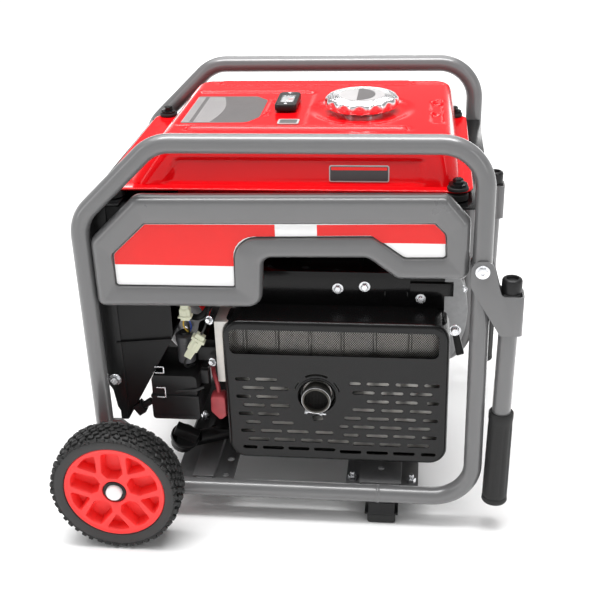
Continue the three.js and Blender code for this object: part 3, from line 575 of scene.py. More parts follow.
def wheel_hub():
    face = 322.5
    profile = [
        (RIM_R, 286), (RIM_R, face + 0.5), (RIM_R - 1.0, face + 1.4), (RIM_R - 2.6, face + 1.4),
        (RIM_R - 3.8, face + 0.6), (RIM_R - 5, face), (20.5, face), (19.2, face - 0.8),
        (18.6, face - 5), (9, face - 5), (9, 281), (24, 281), (26, 290), (RIM_R - 8, 290),
        (RIM_R - 6, 284), (RIM_R, 284),
    ]
    hub = lathe(WHEEL_MIDDLE, TOWARD_US, profile, 96, looped=True)
    barrel = [(25, 7.5, 2.5), (34.5, 16.3, 4.5), (67.5, 13.6, 3.5), (70, 0, 20), (67.5, -13.6, 3.5),
              (34.5, -16.3, 4.5), (25, -7.5, 2.5)]
    wedge = [(41.5, 0, 2.2), (67, 18, 2.5), (71.5, 0, 24), (67, -18, 2.5)]
    cuts = []
    for k in range(5):
        angle = math.pi / 2 + 2 * math.pi * k / 5
        cuts.append(pocket(barrel, angle, face, face - 19, 2.2))
        cuts.append(pocket(wedge, angle + math.pi / 5, face, face - 17, 2.4))
    return hub, cuts


def tyre_tread():
    """A rounded carcass with rows of small uneven blocks."""
    carcass = [
        (RIM_R + 12, -WHEEL_IN - 3), (WHEEL_R - 9.4, -WHEEL_IN - 1.5), (WHEEL_R - 6.0, -WHEEL_IN - 7),
        (WHEEL_R - 5.4, -(WHEEL_IN + WHEEL_OUT) / 2), (WHEEL_R - 6.0, -WHEEL_OUT + 8),
        (WHEEL_R - 9.0, -WHEEL_OUT + 2.5), (RIM_R + 12, -WHEEL_OUT + 4),
    ]
    shapes = [lathe(WHEEL_MIDDLE, AWAY, carcass, 96, looped=True)]
    chance = random.Random(7)
    rows = [(-WHEEL_OUT + 5.6, 0.78, 5.2), (-WHEEL_OUT + 12, 0.25, 7.0), (-WHEEL_OUT + 20.5, 0.0, 7.0),
            (-WHEEL_OUT + 29, 0.0, 7.0), (-WHEEL_OUT + 37.5, 0.0, 7.0), (-WHEEL_OUT + 45.5, -0.3, 6.4),
            (-WHEEL_OUT + 49.5, -0.8, 4.0)]
    per_turn = 46
    for row, (y, lean, width) in enumerate(rows):
        for k in range(per_turn):
            angle = 2 * math.pi * (k + (row % 2) * 0.5 + chance.uniform(-0.08, 0.08)) / per_turn
            shapes.append(tread_block(y, lean, width, angle, chance))
    return join(*shapes)


def tread_block(y, lean, width, angle, chance):
    base = WHEEL_R - 6.8 - abs(lean) * 2.4
    half_y = width / 2 * chance.uniform(0.82, 1.05)
    half_t = 5.0 * chance.uniform(0.75, 1.05)
    twist = chance.uniform(-0.55, 0.55)
    rise = min(6.3, WHEEL_R - 0.4 - base) * chance.uniform(0.78, 1.0)
    outward = Vector((math.cos(angle), 0, math.sin(angle)))
    onward = Vector((-math.sin(angle), 0, math.cos(angle)))
    across = Vector(AWAY)
    up = (outward * math.cos(lean) - across * math.sin(lean)).normalized()
    level = (across * math.cos(lean) + outward * math.sin(lean)).normalized()
    middle = Vector((WHEEL_X, y, WHEEL_R)) + outward * base
    points = []
    for height, shrink in ((0, 1.0), (rise - 1.0, 0.92), (rise, 0.66)):
        for a, b in ((-1, -1), (1, -1), (1, 1), (-1, 1)):
            u = a * half_t * shrink
            v = b * half_y * shrink
            along = onward * (u * math.cos(twist) - v * math.sin(twist))
            over = level * (u * math.sin(twist) + v * math.cos(twist))
            point = middle + along + over + up * height
            point.y = max(point.y, -WHEEL_OUT + 0.6)
            points.append(point)
    return skin([points[0:4], points[4:8], points[8:12]])


def tyre_wall():
    """The smooth band between the rim and the tread, on both faces."""
    outer = [
        (RIM_R + 0.2, 288), (RIM_R + 0.2, WHEEL_OUT - 6.4), (RIM_R + 1.2, WHEEL_OUT - 4.4),
        (RIM_R + 7, WHEEL_OUT - 2.4), (RIM_R + 13, WHEEL_OUT - 2.4), (RIM_R + 15.4, WHEEL_OUT - 3.2),
        (RIM_R + 16.4, WHEEL_OUT - 2.6), (RIM_R + 17.2, WHEEL_OUT - 3.4), (RIM_R + 15, WHEEL_OUT - 12),
        (RIM_R + 15, WHEEL_IN + 10), (RIM_R + 12, WHEEL_IN + 2.0), (RIM_R + 4, WHEEL_IN + 3.2),
        (RIM_R + 0.2, WHEEL_IN + 6),
    ]
    return lathe(WHEEL_MIDDLE, TOWARD_US, outer, 96, looped=True)


def wheels():
    hub, cuts = wheel_hub()
    tread = tyre_tread()
    wall = tyre_wall()
    bore = lathe(WHEEL_MIDDLE, TOWARD_US, [
        (9, 317.2), (17.6, 317.2), (17.6, 320.8), (17, 321.4), (13.4, 321.4), (12.8, 320.6), (12.8, 318.4),
        (9, 318.4)], 48, looped=True)
    cap = lathe(WHEEL_MIDDLE, TOWARD_US, [
        (12.4, 317.6), (12.4, 325.6), (11.8, 327.2), (10.2, 328.3), (6, 328.9), (0.1, 329.2)], 40)
    for place, side in SIDES:
        body = "wheel_" + place
        make("hub_" + place, mirrored(hub, side), HUB_PLASTIC, body,
             cuts=[[mirrored(c, side) for c in cuts]], replaces=("wheel_hub_" + place,))
        make("tread_" + place, mirrored(tread, side), TREAD_RUBBER, body,
             replaces=("tyre_" + place,), smooth=30)
        make("sidewall_" + place, mirrored(wall, side), WALL_RUBBER, body)
        make("bore_ring_" + place, mirrored(bore, side), BLACK_PLASTIC, body)
        make("hub_cap_" + place, mirrored(cap, side), CAP_WHITE, "frame",
             replaces=("axle_nut_" + place,))
        refined("axle_" + place, ZINC, 0.8)


# ------------------------------------------------------------------ folding handles
ARM_LEAN = math.atan2(7, ARM_TOP - ARM_LOW)


def on_arm(side, reach):
    """A point on the handle's leaning axis, a distance below its top."""
    x = ARM_X - reach * math.sin(ARM_LEAN)
    return Vector((x, side * LOOP_Y, ARM_TOP - reach * math.cos(ARM_LEAN)))


def grip_shape(side):
    """A rubber grip with lengthwise flutes, a flared collar and a ring near its end."""
    low = (ARM_TOP - ARM_LOW) / math.cos(ARM_LEAN) + 7
    top = (ARM_TOP - GRIP_TOP) / math.cos(ARM_LEAN)
    length = low - top
    stations = [
        (0.0, 14.4, 0), (0.3, 17.7, 0), (1.6, 18.6, 0), (11, 18.7, 0), (15, 18.2, 0), (20, 18.1, 0.2),
        (27, 18.2, 1), (length - 26, 19.0, 1), (length - 19, 19.1, 0.2), (length - 12, 19.2, 0),
        (length - 10.2, 18.4, 0), (length - 8.8, 19.3, 0), (length - 2.4, 19.8, 0), (length - 0.8, 18.9, 0),
        (length, 16.0, 0),
    ]
    axis = (on_arm(side, low) - on_arm(side, top)).normalized()
    u, v = side_axes(axis)
    rings = []
    count = 96
    for step, radius, flute in stations:
        ring = []
        middle = on_arm(side, top) + axis * step
        for k in range(count):
            angle = 2 * math.pi * k / count
            wave = abs(math.sin(angle * 5)) ** 0.5
            r = radius + flute * 1.5 * (wave - 0.75)
            ring.append(middle + (u * math.cos(angle) + v * math.sin(angle)) * r)
        rings.append(ring)
    return skin(rings)


def handle_ears(side):
    y = side * LOOP_Y
    ear = [
        (POST_X - 16, 465, 14), (POST_X + 14, 465, 13), (318, 411, 8), (338, 411, 0.5),
        (338, 349, 0.5), (318, 349, 3), (POST_X - 16, 426, 12),
    ]
    plates = [slab(ear, y + a, y + b, edge=0.5) for a, b in ((-18, -15), (15, 18))]
    wrap = [(337.4, y - 18, 0.4), (349.9, y - 18, 7), (349.9, y + 18, 7), (337.4, y + 18, 0.4),
            (337.4, y + 15, 0.4), (346.8, y + 15, 4), (346.8, y - 15, 4), (337.4, y - 15, 0.4)]
    saddle = slab(wrap, 349.2, 410.8, place=at_z, edge=0.3)
    return join(*plates, saddle)


def handles():
    for place, side in SIDES:
        body = "handle_" + place
        y = side * LOOP_Y
        tube = sweep([on_arm(side, r) for r in (0, 3, 100, 240, 340, 350)], TUBE_R, 40)
        make("arm_tube_" + place, tube, GREY_PAINT, body,
             replaces=("handle_arm_" + place,))
        make("pivot_ears_" + place, handle_ears(side), GREY_PAINT, body)
        make("fluted_grip_" + place, grip_shape(side), SOFT_RUBBER, body,
             replaces=("handle_grip_" + place,))
        plug = lathe(on_arm(side, 0), on_arm(side, -1) - on_arm(side, 0), [
            (0.1, 0.4), (14.4, 0.4), (14.6, 1.2), (14.6, 18), (13.6, 20.6), (11.5, 22), (9.6, 22.2),
            (8.4, 20.5), (8, 17.6), (0.1, 17.2)], 40)
        make("arm_plug_" + place, plug, BLACK_PLASTIC, body,
             replaces=("handle_plug_" + place,))
        heads = []
        for s in (-1, 1):
            heads.append(lathe((POST_X, y + s * 18.2, PIVOT_Z), (0, s, 0), [
                (0.1, 0), (10.3, 0), (10.5, 0.5), (10.2, 1.6), (8.2, 1.9), (0.1, 1.9)], 36))
            heads.append(lathe((POST_X, y + s * 20, PIVOT_Z), (0, s, 0), [
                (8.0, 0), (7.9, 2.4), (6.4, 3.0), (3.6, 3.1), (3.2, 1.2), (0.1, 1.0)], 6))
        make("pivot_heads_" + place, join(*heads), ZINC, body,
             replaces=("pivot_bolt_" + place,))


# ------------------------------------------------------------------ fuel tank
TANK_RINGS = [
    (548.0, -228, 256, -174, 174, 30), (574, -209, 252.6, -170, 171, 30),
    (597, -191, 249.2, -166.3, 168.2, 30), (604, -185.6, 247.8, -165, 167, 29),
    (610, -180.6, 245.2, -162.4, 165, 26), (614, -176, 242, -158.8, 162, 23),
    (616.4, -171.4, 237.4, -154.4, 157.8, 20), (617, -167, 233, -150, 153.6, 17),
]
TANK_BEADS = ((-140, 175, -116), (-133, 176, 140))


def smooth_step(value, low, high):
    t = min(max((value - low) / (high - low), 0.0), 1.0)
    return t * t * (3 - 2 * t)


def rounded_ring(x0, x1, y0, y1, radius):
    """Points round a rounded rectangle, evenly spaced on each side and corner."""
    per_long, per_short, per_corner = 74, 56, 9
    radius = max(radius, 0.4)
    runs = [
        ((x0 + radius, y0), (x1 - radius, y0), per_long, (x1 - radius, y0 + radius), -90),
        ((x1, y0 + radius), (x1, y1 - radius), per_short, (x1 - radius, y1 - radius), 0),
        ((x1 - radius, y1), (x0 + radius, y1), per_long, (x0 + radius, y1 - radius), 90),
        ((x0, y1 - radius), (x0, y0 + radius), per_short, (x0 + radius, y0 + radius), 180),
    ]
    out = []
    for start, end, count, middle, degrees in runs:
        for k in range(count):
            t = k / count
            out.append((start[0] + (end[0] - start[0]) * t, start[1] + (end[1] - start[1]) * t))
        for k in range(per_corner):
            angle = math.radians(degrees + 90 * k / per_corner)
            out.append((middle[0] + radius * math.cos(angle), middle[1] + radius * math.sin(angle)))
    return out


def bead_height(x, y, x0, x1, line, half, height):
    """A raised rounded bead along X, with round ends."""
    nearest = min(max(x, x0), x1)
    away = math.hypot(x - nearest, y - line)
    if away >= half:
        return 0.0
    return height * math.cos(away / half * math.pi / 2) ** 1.2


def pressed_in(x, y, x0, x1, y0, y1, radius, fade):
    """1 inside a rounded rectangle, falling to 0 over a fade outside it."""
    dx = max(x0 + radius - x, x - x1 + radius, 0)
    dy = max(y0 + radius - y, y - y1 + radius, 0)
    return 1 - smooth_step(math.hypot(dx, dy) - radius, 0, fade)


def tank_top_height(x, y):
    """How far the pressed top stands above or below its level."""
    height = 0.0
    for x0, x1, line in TANK_BEADS:
        height += bead_height(x, y, x0, x1, line, 8.0, 6.4)
        height -= bead_height(x, y, x0, x1, line, 15.0, 1.6)
    away = math.hypot(x - CAP_X, y - CAP_Y)
    height -= 4.2 * (1 - smooth_step(away, 62, 84))
    height -= 2.4 * pressed_in(x, y, -186, 22, -94, 84, 10, 9)
    past_end = y - min(max(y, -42), 42)
    height += bead_height(x, past_end, -37, -37, 0, 4, 2.4)
    for y0, y1 in ((-86, -32), (-26, 30)):
        height -= 4.6 * pressed_in(x, y, 216, 250, y0, y1, 13, 4)
    return height


def tank_surface():
    """Sloping walls with a pressed front, a rounded shoulder and the pressed top."""
    rings = []
    levels = []
    for low, high in zip(TANK_RINGS, TANK_RINGS[1:]):
        steps = max(1, round((high[0] - low[0]) / 2.2))
        for k in range(steps):
            t = k / steps
            levels.append([a + (b - a) * t for a, b in zip(low, high)])
    levels.append(list(TANK_RINGS[-1]))
    for z, x0, x1, y0, y1, radius in levels:
        ring = []
        for x, y in rounded_ring(x0, x1, y0, y1, radius):
            front = y < y0 + 1.0
            if front:
                band = smooth_step(z, 549, 553) * (1 - smooth_step(z, 584, 589))
                slope = -172 + (z - 550) * 0.55
                band *= smooth_step(x, slope - 2, slope + 5) * (1 - smooth_step(x, 196, 206))
                y += 3.2 * band
            ring.append(Vector((x, y, z)))
        rings.append(ring)
    x0, x1, y0, y1, radius = TANK_RINGS[-1][1:]
    reach = (y1 - y0) / 2 - 0.6
    count = 52
    for k in range(1, count + 1):
        d = reach * k / count
        ring = []
        for x, y in rounded_ring(x0 + d, x1 - d, y0 + d, y1 - d, max(radius - d, 0.4)):
            ring.append(Vector((x, y, TANK_TOP + tank_top_height(x, y) * smooth_step(d, 0, 4))))
        rings.append(ring)
    return rings


def tank_shell():
    under = [
        (492.5, -150, 222, -142, 142, 34), (497, -157, 230, -150, 150, 34), (506, -165, 238, -158, 158, 34),
        (544, -165, 238, -158, 158, 34), (545, -165, 238, -158, 158, 34), (545.2, -228, 256, -174, 174, 30),
    ]
    rings = [[Vector((x, y, z)) for x, y in rounded_ring(x0, x1, y0, y1, r)]
             for z, x0, x1, y0, y1, r in under]
    return skin(rings + tank_surface())


def tank_flange():
    edge = []
    for inset_by, z in ((1.2, 545.0), (0, 545.8), (0, 547.6), (0.8, 548.6), (2.4, 548.9), (4, 548.3),
                        (30, 548.1)):
        edge.append([Vector((x, y, z)) for x, y in rounded_ring(
            -268 + inset_by, 275 - inset_by, -190 + inset_by, 190 - inset_by, 22 - min(inset_by, 12))])
    return skin(edge)


TANK_MOUNTS = ((253, -183), (253, 183), (-246, -183), (-246, 183))


def tank_mounts():
    rubbers = []
    washers = []
    heads = []
    for x, y in TANK_MOUNTS:
        rubbers.append(lathe((x, y, 0), UP, [
            (12, 534), (15, 535.5), (15, 543.5), (12, 544.8)], 36))
        rubbers.append(lathe((x, y, 0), UP, [
            (8, 549), (14.8, 549), (15.4, 551), (14.8, 553.4), (12, 554.6), (11.6, 556), (8, 556.4)], 36))
        washers.append(lathe((x, y, 0), UP, [
            (0.1, 556.4), (13.2, 556.4), (13.5, 557.2), (12.8, 558.2), (8.4, 558.9), (0.1, 559)], 36))
        heads.append(lathe((x, y, 0), UP, [(7.6, 558.8), (7.6, 564), (6.4, 565.3), (0.1, 565.5)], 6))
    make("tank_mount_rubbers", join(*rubbers), SOFT_RUBBER)
    make("tank_mount_bolts", join(*washers, *heads), BLACK_PAINT)


def tank_labels():
    """Plain label fields on the tank, without any lettering."""
    level = 614.7
    field = slab([(-176, -84, 4), (-62, -80, 14), (-46, -52, 26), (-46, 44, 14), (-66, 66, 6),
                  (-176, 66, 4)],
                 level - 1, level, place=at_z)
    make("tank_top_label", field, LABEL_GREY)
    lines = []
    for k in range(26):
        y = -78 + k * 5.4
        lines.append(block(-173, -150, y, y + 2.5, level, level + 0.12))
        lines.append(block(-144, -118 + 10 * math.sin(k * math.pi / 25), y, y + 2.5, level, level + 0.12))
    make("tank_label_lines", join(*lines), LABEL_PALE)
    small = slab(rectangle(-14, 18, -92, -68, 3), 615.4, 616.6, place=at_z)
    make("tank_small_label", small, LABEL_PALE)
    small_core = slab(rectangle(-11, 15, -89, -71, 2), 616.6, 616.7, place=at_z)
    make("tank_small_label_core", small_core, LABEL_GREY)
    lean = Matrix.Translation((113, -168.6, 566)) @ Matrix.Rotation(math.radians(-9), 4, "X")
    make("tank_front_label_rim", moved(slab(rectangle(-43, 43, -12, 12, 3), -0.6, 0.6), lean), LABEL_PALE)
    make("tank_front_label", moved(slab(rectangle(-41.4, 41.4, -10.4, 10.4, 2), -0.8, 0.5), lean),
         LABEL_DARK)
    make("tank_front_label_band", moved(slab(rectangle(-40, 40, 5, 9.4, 1), -0.9, 0.4), lean), LABEL_RED)


def fuel_cap():
    scallops = 14
    deepest = 4.2
    count = scallops * 14
    stations = [
        (50.0, 0.0, 621.2), (53.6, 0.4, 621.8), (55.8, 0.9, 623.4), (56.9, 1.0, 626), (56.9, 1.0, 631),
        (56.5, 0.8, 633.4), (55.4, 0.45, 635.6), (53.6, 0.15, 637.2), (51.4, 0.0, 638.2),
        (49.0, 0.0, 638.7),
        (46.4, 0.0, 638.9), (45.8, 0.0, 638.5), (44.8, 0.0, 638.5), (44.2, 0.0, 638.9), (0.2, 0.0, 639.4),
    ]
    rings = []
    for radius, depth, z in stations:
        ring = []
        for k in range(count):
            angle = 2 * math.pi * k / count
            dip = (0.5 - 0.5 * math.cos(angle * scallops)) ** 1.2
            r = radius - deepest * depth * dip
            ring.append(Vector((CAP_X + r * math.cos(angle), CAP_Y + r * math.sin(angle), z)))
        rings.append(ring)
    make("filler_cap", skin(rings), SATIN_CHROME, "fuel_cap", replaces=("fuel_cap",))
    disc = lathe((CAP_X, CAP_Y, 0), UP, [(0.1, 639.2), (35, 639.0), (35, 639.5), (0.1, 639.8)], 64)
    make("filler_cap_disc", disc, LABEL_PALE, "fuel_cap")
    half = [(CAP_X - 6 + 27 * math.cos(a), CAP_Y + 32 * math.sin(a), 0.4)
            for a in (math.pi * (k / 14 - 0.5) for k in range(15))]
    make("filler_cap_dark_half", slab(half, 639.4, 640.0, place=at_z, count=2), LABEL_GREY, "fuel_cap")
    neck = lathe((CAP_X, CAP_Y, 0), UP, [
        (30, 600), (33, 612), (33, 620.4), (32, 621.6), (30.4, 621.6), (30, 620)], 64, looped=True)
    make("filler_neck", neck, ZINC)


def fuel_gauge():
    body = slab(rectangle(-26, 8, -31, 46, 8), 617.3, 628, place=at_z, edge=2.2)
    window = slab(rectangle(-19.5, 1.5, -15, 30, 4), 624, 630, place=at_z)
    make("gauge_body", body, BLACK_PLASTIC, cuts=[[window]], replaces=("fuel_gauge",))
    dial = slab(rectangle(-19.2, 1.2, -14.7, 29.7, 3.8), 623.2, 624.3, place=at_z)
    make("gauge_dial", dial, LABEL_PALE)
    marks = [block(-16, -9, y - 0.5, y + 0.5, 624.3, 624.45) for y in (-9, -0.75, 7.5, 15.75, 24)]
    make("gauge_marks", join(*marks), LABEL_DARK)
    make("gauge_needle", block(-9, -1, 12, 14, 624.6, 625.4), RED_PLASTIC, edge=0.2)
    pane = slab(rectangle(-19.3, 1.3, -14.8, 29.8, 3.8), 626.6, 627.6, place=at_z, edge=0.3)
    make("gauge_window", pane, CLEAR)
    head = [(0.1, -0.4), (3.4, -0.4), (3.2, 0.5), (2, 0.9), (0.1, 0.9)]
    screws = [lathe((-9, y, 628), UP, head, 20)
              for y in (-23, 38)]
    make("gauge_screws", join(*screws), ZINC)


def fuel_tank():
    make("tank_shell", tank_shell(), TANK_PAINT, replaces=("fuel_tank",), smooth=60)
    make("tank_flange", tank_flange(), TANK_PAINT, smooth=60)
    tank_mounts()
    tank_labels()
    fuel_cap()
    fuel_gauge()
    refined("fuel_valve", ALUMINIUM, 0.6)
    refined("valve_lever", RED_PLASTIC, 0.6, "valve_lever")


# ------------------------------------------------------------------ side panels
PANEL_OUTLINE = [
    (-203, 553, 24), (-275, 484, 20), (-275, 377.5, 14), (-27, 381, 22), (-22, 460, 14),
    (128, 462.5, 16), (170, 430.5, 16), (271.5, 431.5, 14), (271.5, 520, 16), (240, 558, 20),
]
WINDOW_OUTLINE = [
    (-192, 512, 6), (-244, 463, 12), (-244, 411, 6), (-64, 412, 4), (-62, 490, 34),
    (136, 494, 14), (180, 462, 14), (240, 463.5, 6), (238, 501.5, 12), (222, 518, 6),
]
RED_LEFT = [
    (-191, 509.4, 4), (-241.4, 462, 10), (-241.4, 446, 0.6), (-65, 446, 0.6), (-64.6, 492.4, 32),
    (-3, 493.6, 0.6), (-3, 511.5, 0.6),
]
RED_RIGHT = [
    (57, 512, 0.6), (57, 495.2, 0.6), (134, 496.8, 8), (149, 486, 3), (237.6, 486, 0.6), (236, 500.5, 10),
    (221, 515.4, 4),
]


def panel_rim():
    """A moulded rim: a flat back, one broad rounded bead, a slope inward and a step down to the label."""
    rings = [at_y(outline(inset(PANEL_OUTLINE, 3), 7), -218), at_y(outline(PANEL_OUTLINE, 7), -222)]
    for k in range(13):
        angle = math.pi * 0.56 * k / 12
        rings.append(at_y(outline(inset(PANEL_OUTLINE, 12 - 12 * math.cos(angle)), 7),
                          -226 - 15 * math.sin(angle)))
    rings.append(at_y(outline(inset(WINDOW_OUTLINE, -2.4), 7), -237.4))
    rings.append(at_y(outline(inset(WINDOW_OUTLINE, -0.7), 7), -236.4))
    rings.append(at_y(outline(WINDOW_OUTLINE, 7), -234.4))
    rings.append(at_y(outline(inset(WINDOW_OUTLINE, 0.4), 7), -229))
    return skin(rings)


def side_panels():
    rim = panel_rim()
    base = slab(inset(WINDOW_OUTLINE, 2.2), -232.0, -228.4, edge=0.3)
    left = slab(RED_LEFT, -232.2, -231.9)
    right = slab(RED_RIGHT, -232.2, -231.9)
    rivet = lathe((-264, -231, 388), TOWARD_US, [(0.1, 0), (2.6, 0), (2.2, 1.6), (0.1, 2.2)], 20)
    for place, side in SIDES:
        make("panel_rim_" + place, mirrored(rim, side), PANEL_PAINT,
             replaces=("side_panel_" + place,))
        make("panel_label_" + place, mirrored(base, side), LABEL_WHITE)
        make("panel_reds_" + place, mirrored(join(left, right), side), LABEL_RED)
        make("panel_rivet_" + place, mirrored(rivet, side), ZINC)


# ------------------------------------------------------------------ muffler and its guard
def stadium(x, z, half_length, half_height):
    """A cutter with round ends, through the guard's front."""
    return slab(rectangle(x - half_length, x + half_length, z - half_height, z + half_height,
                          half_height - 0.05), CUT_FRONT, CUT_BACK, count=5)


def guard_slots():
    """Nine rows of slots, left out round the tail pipe. Each slot is a middle and half a length."""
    long = 17.0
    short = 11.5
    rows = [
        [(-67, short), (-30, long), (107, 9), (142, long), (186, long), (224, short)],
        [(-51, long), (-10, 15), (120, long), (164, long), (208, long)],
        [(-67, short), (-30, long), (142, long), (186, long), (226, 9)],
        [(-51, long), (-10, 15), (120, long), (164, long), (208, long)],
        [(-65, short), (-29, long), (103, 13), (142, long), (184, long), (223, short)],
        [(-54, 12), (-7, long), (89, 7), (120, long), (162, long), (206, long)],
        [(-63, short), (-26, long), (16, long), (58, 14), (100, 12), (141, long), (183, long),
         (222, short)],
        [(-46, long), (-5, long), (38, long), (80, long), (120, long), (161, long), (205, long)],
        [(-61, short), (-24, long), (17, long), (58, long), (99, long), (141, long), (183, long),
         (221, short)],
    ]
    passes = []
    for row, places in enumerate(rows):
        z = 246 - row * 15.6
        passes.append([stadium(x, z - (3 if x > 80 else 0), half, 3.1) for x, half in places])
    return passes


def muffler_guard():
    def shell(drop, y_back, y_front, edge):
        corners = rectangle(GUARD_X0 + drop, GUARD_X1 - drop, GUARD_Z0 + drop, GUARD_Z1 - drop, 28 - drop)
        rings = [at_y(outline(corners, 9), y_back)]
        for k in range(7):
            angle = math.pi / 2 * k / 6
            rings.append(at_y(outline(inset(corners, edge - edge * math.cos(angle)), 9),
                              y_front + edge - edge * math.sin(angle)))
        return skin(rings)
    outer = shell(0, -150.2, GUARD_FRONT, 7)
    inner = shell(2, -148, GUARD_FRONT + 2, 5.5)
    window = slab(rectangle(*WINDOW, 9), CUT_FRONT, CUT_BACK + 1)
    hole = lathe(OUTLET, AWAY, [(29.4, CUT_FRONT), (29.4, CUT_BACK + 1)], 64)
    arcs = [arc_slot(OUTLET_X, OUTLET_Z, 37.6, 1.8, 90, 27)]
    for middle in (28, 152):
        arcs.append(arc_slot(OUTLET_X, OUTLET_Z, 36.0, 0.9, middle, 14))
    lobe = slab(rectangle(OUTLET_X - 9, OUTLET_X + 9, OUTLET_Z - 45, OUTLET_Z - 34, 5.4),
                CUT_FRONT, CUT_BACK, count=5)
    make("guard_shell", outer, GUARD_PAINT,
         cuts=[[inner], [window, hole, lobe], arcs] + guard_slots(),
         replaces=("muffler_guard",))
    dish = lathe(OUTLET, TOWARD_US, [
        (32.2, 211.8), (32.2, 213.0), (31.2, 213.4), (29.8, 213.0), (28.6, 211), (27.4, 206), (26, 203.4),
        (23.4, 203), (23.4, 202), (27, 202), (28.6, 206), (29.2, 211.8)], 64, looped=True)
    make("guard_dish", dish, GUARD_PAINT)
    make("guard_mesh", lattice(*WINDOW, -207.8), MESH_STEEL)


def arc_slot(x, z, radius, half, middle, spread):
    """A curved slot about a point, middle and spread in degrees."""
    ring = arc_band(x, z, radius, half, middle, spread, 10)
    return skin([at_y(ring, CUT_FRONT), at_y(ring, CUT_BACK)])


def arc_band(u, v, radius, half, middle, spread, steps):
    """A closed ring round a curved band: half is half its width, middle and spread are in degrees."""
    inner = []
    outer = []
    for k in range(steps + 1):
        angle = math.radians(middle - spread + 2 * spread * k / steps)
        across, up = math.cos(angle), math.sin(angle)
        inner.append(Vector((u + (radius - half) * across, v + (radius - half) * up)))
        outer.append(Vector((u + (radius + half) * across, v + (radius + half) * up)))
    return outer + inner[::-1]


def lattice(x0, x1, z0, z1, y):
    """Fine crossed strands, as in expanded metal."""
    shapes = []
    height = z1 - z0
    step, side, deep = 3.4, 0.42, 0.7
    for direction in (1, -1):
        x = x0 - height
        while x < x1 + height:
            low = Vector((x, z0))
            high = Vector((x + height * 0.8 * direction, z1))
            clipped = clip(low, high, x0, x1)
            if clipped:
                a, b = clipped
                shapes.append(skin([[
                    Vector((end.x - side, y, end.y)), Vector((end.x + side, y, end.y)),
                    Vector((end.x + side, y + deep, end.y)), Vector((end.x - side, y + deep, end.y)),
                ] for end in (a, b)]))
            x += step
    return join(*shapes)


def clip(low, high, x0, x1):
    """The part of a strand that lies between two upright lines."""
    if low.x == high.x:
        return (low, high) if x0 <= low.x <= x1 else None
    t0 = (x0 - low.x) / (high.x - low.x)
    t1 = (x1 - low.x) / (high.x - low.x)
    first = max(min(t0, t1), 0.0)
    last = min(max(t0, t1), 1.0)
    if last - first < 0.02:
        return None
    return low.lerp(high, first), low.lerp(high, last)


def exhaust():
    radius = PIPE_R
    pipe = lathe(OUTLET, TOWARD_US, [
        (radius, 204), (radius, 226.4), (radius - 0.6, 227.6), (radius - 1.8, 227.9), (radius - 2.6, 227),
        (radius - 2.8, 222), (radius - 2.8, 204)], 56, looped=True)
    make("tail_pipe", pipe, PIPE_STEEL, replaces=("exhaust_outlet",))
    band = lathe(OUTLET, TOWARD_US, [
        (radius + 0.1, 219), (radius + 1.2, 219.2), (radius + 1.2, 225.2),
        (radius + 0.1, 225.4)], 56, looped=True)
    make("pipe_clamp", band, BRUSHED)
    z = OUTLET_Z - 24
    bolt = join(
        rod((OUTLET_X - 16, -223, z + 3), (OUTLET_X + 15, -223, z - 1), 1.6, 16),
        rod((OUTLET_X - 18, -223, z + 3.4), (OUTLET_X - 13.5, -223, z + 2.6), 4.4, 6),
        rod((OUTLET_X + 5, -223, z + 0.4), (OUTLET_X + 9, -223, z - 0.1), 4.2, 6),
    )
    make("pipe_clamp_bolt", bolt, ZINC, edge=0.3)
    screen = []
    inner = radius - 3
    strand = 0.45
    for k in range(-8, 9):
        offset = k * 2.2
        half = math.sqrt(max(inner ** 2 - offset ** 2, 0))
        if half > 2:
            x, z = OUTLET_X + offset, OUTLET_Z + offset
            screen.append(rod((x, -219.6, OUTLET_Z - half), (x, -219.6, OUTLET_Z + half), strand, 6))
            screen.append(rod((OUTLET_X - half, -218.8, z), (OUTLET_X + half, -218.8, z), strand, 6))
    make("pipe_screen", join(*screen), MESH_STEEL)
    # A black disc closes the bore a little way in: painted shade for the dark inside of the pipe.
    back = lathe(OUTLET, TOWARD_US, [(0.1, 208), (inner, 208), (inner, 209), (0.1, 209)], 40)
    make("pipe_painted_shade_disc", back, BLACK_METAL)


def muffler():
    refined("muffler_body", MUFFLER_STEEL, 1.4)
    refined("muffler_bracket", BLACK_PAINT, 0.7)
    bolts = [hex_bolt((x, -149.9, z), TOWARD_US, 10, 6) for x, z in ((78, 375), (119, 379))]
    bolts.append(hex_bolt((204, -157.2, 364), TOWARD_US, 9, 6))
    make("bracket_bolts", join(*bolts), ZINC)
    ribs = [block(x - 0.8, x + 0.8, -151.6, -149.9, 352, 372) for x in (150, 184)]
    make("bracket_ribs", join(*ribs), BLACK_PAINT, edge=0.3)
    strip_bolts = [hex_bolt((-114, -200, z), (-0.5, -0.86, 0.1), 8, 6) for z in (341, 268)]
    make("strip_bolts", join(*strip_bolts), ZINC)
    lip = slab(rectangle(-90, 244, -199, -152, 10), 340, 341.2, place=at_z, edge=0.3)
    make("muffler_top_plate", lip, BLACK_PAINT)
    bars = [rod((x, -197.6, 284), (x, -197.6, 337), 3.0, 14) for x in (-62, -12, 38, 88, 137, 190)]
    make("muffler_flutes", join(*bars), MUFFLER_STEEL)


